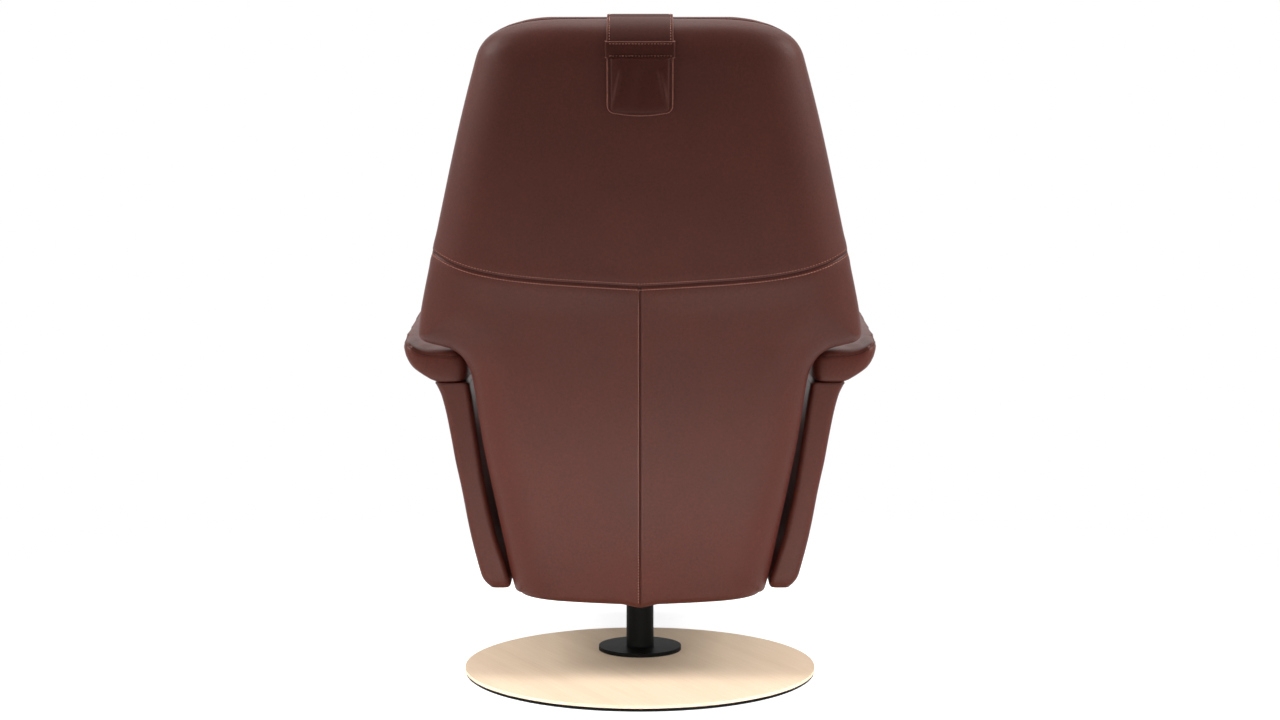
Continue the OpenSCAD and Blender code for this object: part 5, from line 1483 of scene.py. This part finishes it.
def rounded_box(half_x, half_y, radius, count):
    """Outline of a box with round corners, counted from the middle of its +X side."""
    quarter = count // 4
    arc = np.linspace(0, np.pi / 2, quarter // 2)
    side = np.linspace(0, half_y - radius, quarter - len(arc) - 5, endpoint=False)
    end = np.linspace(half_x - radius, 0, 6)[1:]
    x = np.concatenate([np.full(len(side), half_x), half_x - radius + radius * np.cos(arc), end])
    y = np.concatenate([side, half_y - radius + radius * np.sin(arc), np.full(5, half_y)])
    first = np.stack([x, y], -1)
    second = (first * (-1, 1))[::-1][1:]
    half = np.concatenate([first, second])
    whole = np.concatenate([half, (half * (1, -1))[::-1][1:-1]])
    return whole[:, 0], whole[:, 1]


def cup_object(name, outer, inner):
    """Closed form with a pocket open at its first rings."""
    outer, inner = np.asarray(outer, float), np.asarray(inner, float)
    size = outer.shape[1]
    high, low = len(outer) * size, (len(outer) + len(inner)) * size
    points = np.concatenate([
        outer.reshape(-1, 3), inner.reshape(-1, 3), outer[-1:].mean(1), inner[-1:].mean(1)])
    faces = grid_faces(len(outer), size, closed=True)
    faces += [f[::-1] for f in grid_faces(len(inner), size, high, closed=True)]
    last, deep = high - size, low - size
    for j in range(size):
        k = (j + 1) % size
        faces += [(low, last + j, last + k), (low + 1, deep + k, deep + j), (j, high + j, high + k, k)]
    return new_object(name, points, faces)


def panel_ring(t, waves):
    """Ring round the padded side panel at a share of its height."""
    z = mix(PANEL_LOW, ARM_TOP, t)
    inset = 4 * (1 - min(1, t / 0.05)) ** 3
    inner = PANEL_HALF_W * smooth(PANEL_INNER_SHARES, t) + inset
    outer = PANEL_HALF_W * smooth(PANEL_OUTER_SHARES, t) - inset
    rear = ARM_REAR - PANEL_REAR_DROP * (1 - t) - inset
    front = ARM_FRONT + PANEL_FRONT_DROP + inset
    x, y = rounded_box((outer - inner) / 2, (rear - front) / 2, PANEL_ROUND, PANEL_SIDES)
    puff = 1.2 * np.sin(np.pi * t) * np.sin(y / 61 + waves[0]) + 0.7 * np.sin(z / 23 + y / 90 + waves[1])
    upper = 0.8 * np.exp(-(1 - t) * 14) * np.sin(y / 3.1 + waves[2])
    lower = 0.5 * np.exp(-t * 16) * np.sin(y / 4.3)
    swell = (puff + upper + lower) * np.where(x > 0, 1.0, 0.25)
    x = x + np.sign(x) * np.clip(np.abs(x) / ((outer - inner) / 2), 0, 1) * swell
    return np.stack([(inner + outer) / 2 + x, (rear + front) / 2 + y, np.full(len(x), z)], -1)


def pocket_ring(z, c, s):
    """Ring of the panel's pocket, round its board and arm rail at a height."""
    low, high = node_box("arm_board_left")
    middle = BOARD_LOW_X + (z - PANEL_LOW - 8) * math.tan(BOARD_LEAN)
    low_x = middle - (BOARD_T / 2 + ARM_RAIL_T + POCKET_GAP) / math.cos(BOARD_LEAN)
    high_x = middle + (BOARD_T / 2 + POCKET_GAP) / math.cos(BOARD_LEAN)
    x, y = mix(low_x, high_x, (1 + c) / 2), mix(low[1] - POCKET_GAP, high[1] + POCKET_GAP, (1 + s) / 2)
    return np.stack([x, y, np.full(len(x), z)], -1)


def build_arm_panel():
    box_x, box_y = rounded_box(*PANEL_HALF_SIZE, PANEL_ROUND, PANEL_SIDES)
    turn = np.arctan2(box_y / PANEL_HALF_SIZE[1], box_x / PANEL_HALF_SIZE[0])
    rows = np.concatenate([
        [-0.009, -0.007, -0.003, 0.004, 0.012, 0.025], np.linspace(0.04, 0.97, 80),
        [0.98, 0.988, 0.995, 1.0]])
    waves = np.random.default_rng(8).uniform(0, 2 * np.pi, 4)
    rings = [panel_ring(t, waves) for t in rows]
    c, s = np.cos(turn), np.sin(turn)
    far = np.maximum(np.abs(c), np.abs(s))
    pocket_top = node_box("arm_board_left")[1][2] + POCKET_GAP
    pocket = [pocket_ring(z, c / far, s / far) for z in np.linspace(PANEL_LOW, pocket_top, 12)]
    left = cup_object("arm_panel_left_leather", rings, pocket)
    right = mirrored_copy(left, "arm_panel_right_leather")
    for piece, side in ((left, "left"), (right, "right")):
        finish_soft(piece, f"arm_panel_{side}", "seat", colour="leather")
    seam = tube_object("arm_panel_seam_left", rings[-2] - (0, 0, 0.4), 0.6, 6, closed=True)
    for line in (seam, mirrored_copy(seam, "arm_panel_seam_right")):
        dress(line, "seam", "seat")


# CAD pieces that stay, and the studio

FINISHES = {
    "felt": ("base_felt",),
    "black_steel": (
        "base_plate", "column", "bearers", "side_plate_left", "side_plate_right", "arm_rail_left",
        "arm_rail_right", "front_cross_bar", "middle_cross_bar", "rear_cross_bar", "leg_rest_frame",
        "recline_tube", "back_post_left", "back_post_right", "back_top_bar", "service_tray",
    ),
    "oak": ("base_disc",),
    "steel": (
        "flange_screws", "retaining_ring", "spindle", "frame_bolts", "actuator_pins", "recline_rod",
        "leg_rod", "back_hinge_pins", "flap_weight",
    ),
    "brass": ("column_bushes", "thrust_washer"),
    "birch": ("arm_board_left", "arm_board_right"),
    "dark_birch": ("seat_rail_front", "seat_rails", "leg_rest_board"),
    "webbing": ("seat_webbing", "back_webbing"),
    "plastic": (
        "recline_actuator", "leg_actuator", "battery_pack", "control_box", "switch_panel", "back_shell",
    ),
    "button": ("button_back_up", "button_back_down", "button_leg_up", "button_leg_down"),
}
EDGES = {"base_disc": 1.2, "column": 0.8, "base_plate": 0.6, "switch_panel": 0.8}


def dress_hardware():
    for material, nodes in FINISHES.items():
        for name in nodes:
            piece = bpy.data.objects[name]
            paint(piece, material)
            if name in EDGES:
                bevel = piece.modifiers.new("Edges", "BEVEL")
                bevel.width = EDGES[name] * UNIT
                bevel.segments = 3
                bevel.limit_method = "ANGLE"


# Softboxes: place, aim and size in metres, the setting with the power in watts, spread in degrees
SOFTBOXES = (
    ("box_left", (2.4, 0.7, 1.9), (0, 0.3, 0.15), (1.1, 1.8), "sides", 80),
    ("box_right", (-2.4, 0.7, 1.9), (0, 0.3, 0.15), (1.1, 1.8), "sides", 80),
    ("box_low_left", (2.0, 1.5, 0.45), (0, 0.1, 0.1), (1.2, 0.7), "low", 180),
    ("box_low_right", (-2.0, 1.5, 0.45), (0, 0.1, 0.1), (1.2, 0.7), "low", 180),
    ("box_top", (0, -0.55, 3.2), (0, -0.35, 0.0), (3.8, 1.6), "top", 180),
    ("box_rear", (0, 3.6, 2.2), (0, 0.3, 0.6), (2.4, 1.2), "rear", 180),
    ("box_front", (0, -3.2, 1.9), (0, 0.0, 0.6), (2.6, 1.6), "front", 180),
    ("box_floor", (0, 1.05, 0.012), (0, 0.3, 0.3), (2.4, 0.02), "bounce", 96),
)


def area_light(name, place, target, size, power, spread):
    """Softbox aimed at a point, in metres, watts and degrees."""
    data = bpy.data.lights.new(name, "AREA")
    data.shape = "RECTANGLE"
    data.size, data.size_y = size
    data.energy = power
    data.spread = math.radians(spread)
    lamp = bpy.data.objects.new(name, data)
    lamp.location = place
    lamp.rotation_euler = (Vector(target) - Vector(place)).to_track_quat("-Z", "Y").to_euler()
    bpy.context.scene.collection.objects.link(lamp)


def sight_rays(tree):
    """1 for rays that show the background: the camera's, and those in gloss and glass."""
    rays = add_node(tree, "ShaderNodeLightPath").outputs
    gloss = maths(tree, "ADD", rays["Is Camera Ray"], rays["Is Glossy Ray"])
    return maths(tree, "ADD", gloss, rays["Is Transmission Ray"], clamp=True)


def white_world(strength):
    """White where it is seen, also in gloss and glass, and a plain grey light for everything else."""
    world = bpy.data.worlds.new("Studio")
    bpy.context.scene.world = world
    world.use_nodes = True
    tree = world.node_tree
    tree.nodes.clear()
    plain, seen = (
        add_node(tree, "ShaderNodeBackground", {"Color": (1, 1, 1, 1), "Strength": power}).outputs[0]
        for power in (strength, 1.0)
    )
    light = add_node(tree, "ShaderNodeMixShader", {0: sight_rays(tree), 1: plain, 2: seen})
    add_node(tree, "ShaderNodeOutputWorld", {"Surface": light.outputs[0]})


def pale_floor(light):
    """Round floor that fades out, so that only the chair's surroundings are lit."""
    bpy.ops.mesh.primitive_circle_add(
        vertices=128, radius=light.floor_outer, fill_type="NGON", location=(0, 0.12, 0))
    floor = bpy.context.view_layer.objects.active
    floor.name = "studio_floor"
    material = bpy.data.materials.new("studio_floor")
    material.use_nodes = True
    tree = material.node_tree
    where = add_node(tree, "ShaderNodeTexCoord").outputs["Object"]
    reach = add_node(tree, "ShaderNodeVectorMath", {0: where}, operation="LENGTH").outputs["Value"]
    fade = add_node(tree, "ShaderNodeMapRange", {
        "Value": reach, "From Min": light.floor_inner, "From Max": light.floor_outer,
        "To Min": 1.0, "To Max": 0.0,
    }, interpolation_type="SMOOTHSTEP").outputs[0]
    inputs = {
        "Base Color": (*[light.floor_tone] * 3, 1), "Roughness": 0.9, "Specular IOR Level": 0.1,
        "Alpha": fade, "Emission Color": (1, 1, 1, 1),
        "Emission Strength": maths(tree, "MULTIPLY", sight_rays(tree), light.floor_glow),
    }
    for name, source in inputs.items():
        feed(tree, source, tree.nodes["Principled BSDF"].inputs[name])
    floor.data.materials.append(material)


def build_stage(light):
    white_world(light.world)
    pale_floor(light)
    for name, place, target, size, power, spread in SOFTBOXES:
        area_light(name, place, target, size, getattr(light, power), spread)
    camera = bpy.data.cameras.new("photo_camera")
    camera.sensor_width = 36.0
    camera.lens = light.lens
    view = bpy.data.objects.new("photo_camera", camera)
    view.location = (0, light.distance, light.height)
    view.rotation_euler = (math.radians(90 - light.pitch), 0, math.pi)
    bpy.context.scene.collection.objects.link(view)
    bpy.context.scene.camera = view
    bpy.context.scene.view_settings.view_transform = "Standard"


# Settings, operators and panel

class ChairLeather(bpy.types.PropertyGroup):
    """Leather of the chair."""
    colour: bpy.props.FloatVectorProperty(
        name="Colour", description="Base colour of the leather", subtype="COLOR", size=3, min=0, max=1,
        default=srgb(67, 26, 18)[:3])
    tint: bpy.props.FloatVectorProperty(
        name="Tint", description="Second colour, in clouds over the leather",
        subtype="COLOR", size=3, min=0, max=1,
        default=srgb(75, 31, 22)[:3])
    gloss: bpy.props.FloatProperty(
        name="Roughness", description="Roughness of the finish", default=0.46, min=0.1, max=0.9)
    coat: bpy.props.FloatProperty(
        name="Coat", description="Weight of the clear finish over the leather", default=0.02, min=0, max=1)


class ChairStitches(bpy.types.PropertyGroup):
    """Stitches of the seams, in millimetres."""
    pitch: bpy.props.FloatProperty(
        name="Pitch", description="Distance from stitch to stitch, in millimetres", default=5.0, min=3, max=9)
    length: bpy.props.FloatProperty(
        name="Length", description="Length of a stitch, in millimetres", default=3.4, min=1, max=6)
    rows: bpy.props.FloatVectorProperty(
        name="Rows", description="Heights of the cross seam's rows above the seam, in millimetres", size=2,
        default=(-5.0, 5.0))


class ChairStudio(bpy.types.PropertyGroup):
    """Camera and lights."""
    world: bpy.props.FloatProperty(
        name="Ambient", description="Strength of the plain light", default=0.03, min=0)
    sides: bpy.props.FloatProperty(
        name="Sides", description="Power of the softboxes beside the back", unit="POWER", default=19.5, min=0)
    low: bpy.props.FloatProperty(
        name="Low sides", description="Power of the low softboxes beside the base",
        unit="POWER", default=9.0, min=0)
    top: bpy.props.FloatProperty(
        name="Top", description="Power of the softbox overhead", unit="POWER", default=54.0, min=0)
    rear: bpy.props.FloatProperty(
        name="Rear", description="Power of the softbox behind the camera", unit="POWER", default=1.5, min=0)
    front: bpy.props.FloatProperty(
        name="Front", description="Power of the softbox on the chair's front",
        unit="POWER", default=3.0, min=0)
    bounce: bpy.props.FloatProperty(
        name="Bounce", description="Power of the light thrown back by the floor",
        unit="POWER", default=4.0, min=0)
    floor_tone: bpy.props.FloatProperty(
        name="Floor tone", description="Lightness of the floor", default=0.86, min=0, max=1)
    floor_glow: bpy.props.FloatProperty(
        name="Floor glow", description="Light that the floor adds for the camera alone", default=0.66, min=0)
    floor_inner: bpy.props.FloatProperty(
        name="Floor fades from", description="Radius where the floor begins to fade",
        unit="LENGTH", default=0.9, min=0)
    floor_outer: bpy.props.FloatProperty(
        name="Floor fades to", description="Radius where the floor has gone",
        unit="LENGTH", default=1.7, min=0)
    lens: bpy.props.FloatProperty(
        name="Lens", description="Focal length in millimetres", default=72.2, min=10)
    distance: bpy.props.FloatProperty(
        name="Distance", description="Distance of the camera behind the column", unit="LENGTH", default=4.459)
    height: bpy.props.FloatProperty(
        name="Height", description="Height of the camera above the floor", unit="LENGTH", default=1.0)
    pitch: bpy.props.FloatProperty(name="Pitch", description="Downward tilt in degrees", default=6.09)


class ChairSettings(bpy.types.PropertyGroup):
    """All settings of the chair."""
    leather: bpy.props.PointerProperty(type=ChairLeather)
    stitches: bpy.props.PointerProperty(type=ChairStitches)
    studio: bpy.props.PointerProperty(type=ChairStudio)


class ChairOperator:
    """What every operator of the chair shares."""
    bl_options = {"REGISTER", "UNDO"}

    def execute(self, context):
        settings = context.scene.chair
        if not MATERIALS:
            MATERIALS.update(make_materials(settings.leather))
        self.build(settings)
        return {"FINISHED"}


class CHAIR_OT_hardware(ChairOperator, bpy.types.Operator):
    """Give the frame, base, motors and switches their finishes"""
    bl_idname = "chair.hardware"
    bl_label = "Hardware"

    def build(self, settings):
        dress_hardware()


class CHAIR_OT_back_shell(ChairOperator, bpy.types.Operator):
    """Cover the back shell in leather, with its seams and stitches"""
    bl_idname = "chair.back_shell"
    bl_label = "Back shell"

    def build(self, settings):
        build_back_shell(settings.stitches)


class CHAIR_OT_back_cushion(ChairOperator, bpy.types.Operator):
    """Sew the back cushion"""
    bl_idname = "chair.back_cushion"
    bl_label = "Back cushion"

    def build(self, settings):
        build_back_cushion()


class CHAIR_OT_seat(ChairOperator, bpy.types.Operator):
    """Sew the seat cushion and the leg rest's pad"""
    bl_idname = "chair.seat"
    bl_label = "Seat and leg rest"

    def build(self, settings):
        build_seat_cushion()
        build_leg_rest()


class CHAIR_OT_arms(ChairOperator, bpy.types.Operator):
    """Upholster the arm panels and sew the arm pads"""
    bl_idname = "chair.arms"
    bl_label = "Arms"

    def build(self, settings):
        build_arm_panel()
        build_arm_pad()


class CHAIR_OT_neck_rest(ChairOperator, bpy.types.Operator):
    """Sew the neck cushion, its strap, loop and weighted flap"""
    bl_idname = "chair.neck_rest"
    bl_label = "Neck rest"

    def build(self, settings):
        build_neck_cushion()
        build_neck_strap(settings.stitches)
        build_strap_loop(settings.stitches)
        build_strap_flap()


class CHAIR_OT_stage(ChairOperator, bpy.types.Operator):
    """Set up the floor, lights and camera of the studio"""
    bl_idname = "chair.stage"
    bl_label = "Studio"

    def build(self, settings):
        build_stage(settings.studio)


OPERATORS = (
    CHAIR_OT_hardware, CHAIR_OT_back_shell, CHAIR_OT_back_cushion, CHAIR_OT_seat, CHAIR_OT_arms,
    CHAIR_OT_neck_rest, CHAIR_OT_stage,
)


class CHAIR_PT_panel(bpy.types.Panel):
    """Settings and steps of the chair"""
    bl_idname = "CHAIR_PT_panel"
    bl_label = "Recliner chair"
    bl_space_type = "VIEW_3D"
    bl_region_type = "UI"
    bl_category = "Chair"

    def draw(self, context):
        settings = context.scene.chair
        for title, group in (
            ("Leather", settings.leather), ("Stitches", settings.stitches), ("Studio", settings.studio)
        ):
            box = self.layout.box()
            box.label(text=title)
            for name in group.bl_rna.properties.keys():
                if name not in ("rna_type", "name"):
                    box.prop(group, name)
        column = self.layout.column(align=True)
        for operator in OPERATORS:
            column.operator(operator.bl_idname)


CLASSES = (ChairLeather, ChairStitches, ChairStudio, ChairSettings, *OPERATORS, CHAIR_PT_panel)


def register():
    for cls in CLASSES:
        bpy.utils.register_class(cls)
    bpy.types.Scene.chair = bpy.props.PointerProperty(type=ChairSettings)


def unregister():
    del bpy.types.Scene.chair
    for cls in reversed(CLASSES):
        bpy.utils.unregister_class(cls)


def main():
    register()
    for operator in OPERATORS:
        step = getattr(bpy.ops.chair, operator.bl_idname.split(".")[1])
        if "FINISHED" not in step():
            raise RuntimeError(operator.bl_label)


if __name__ == "__main__":
    main()
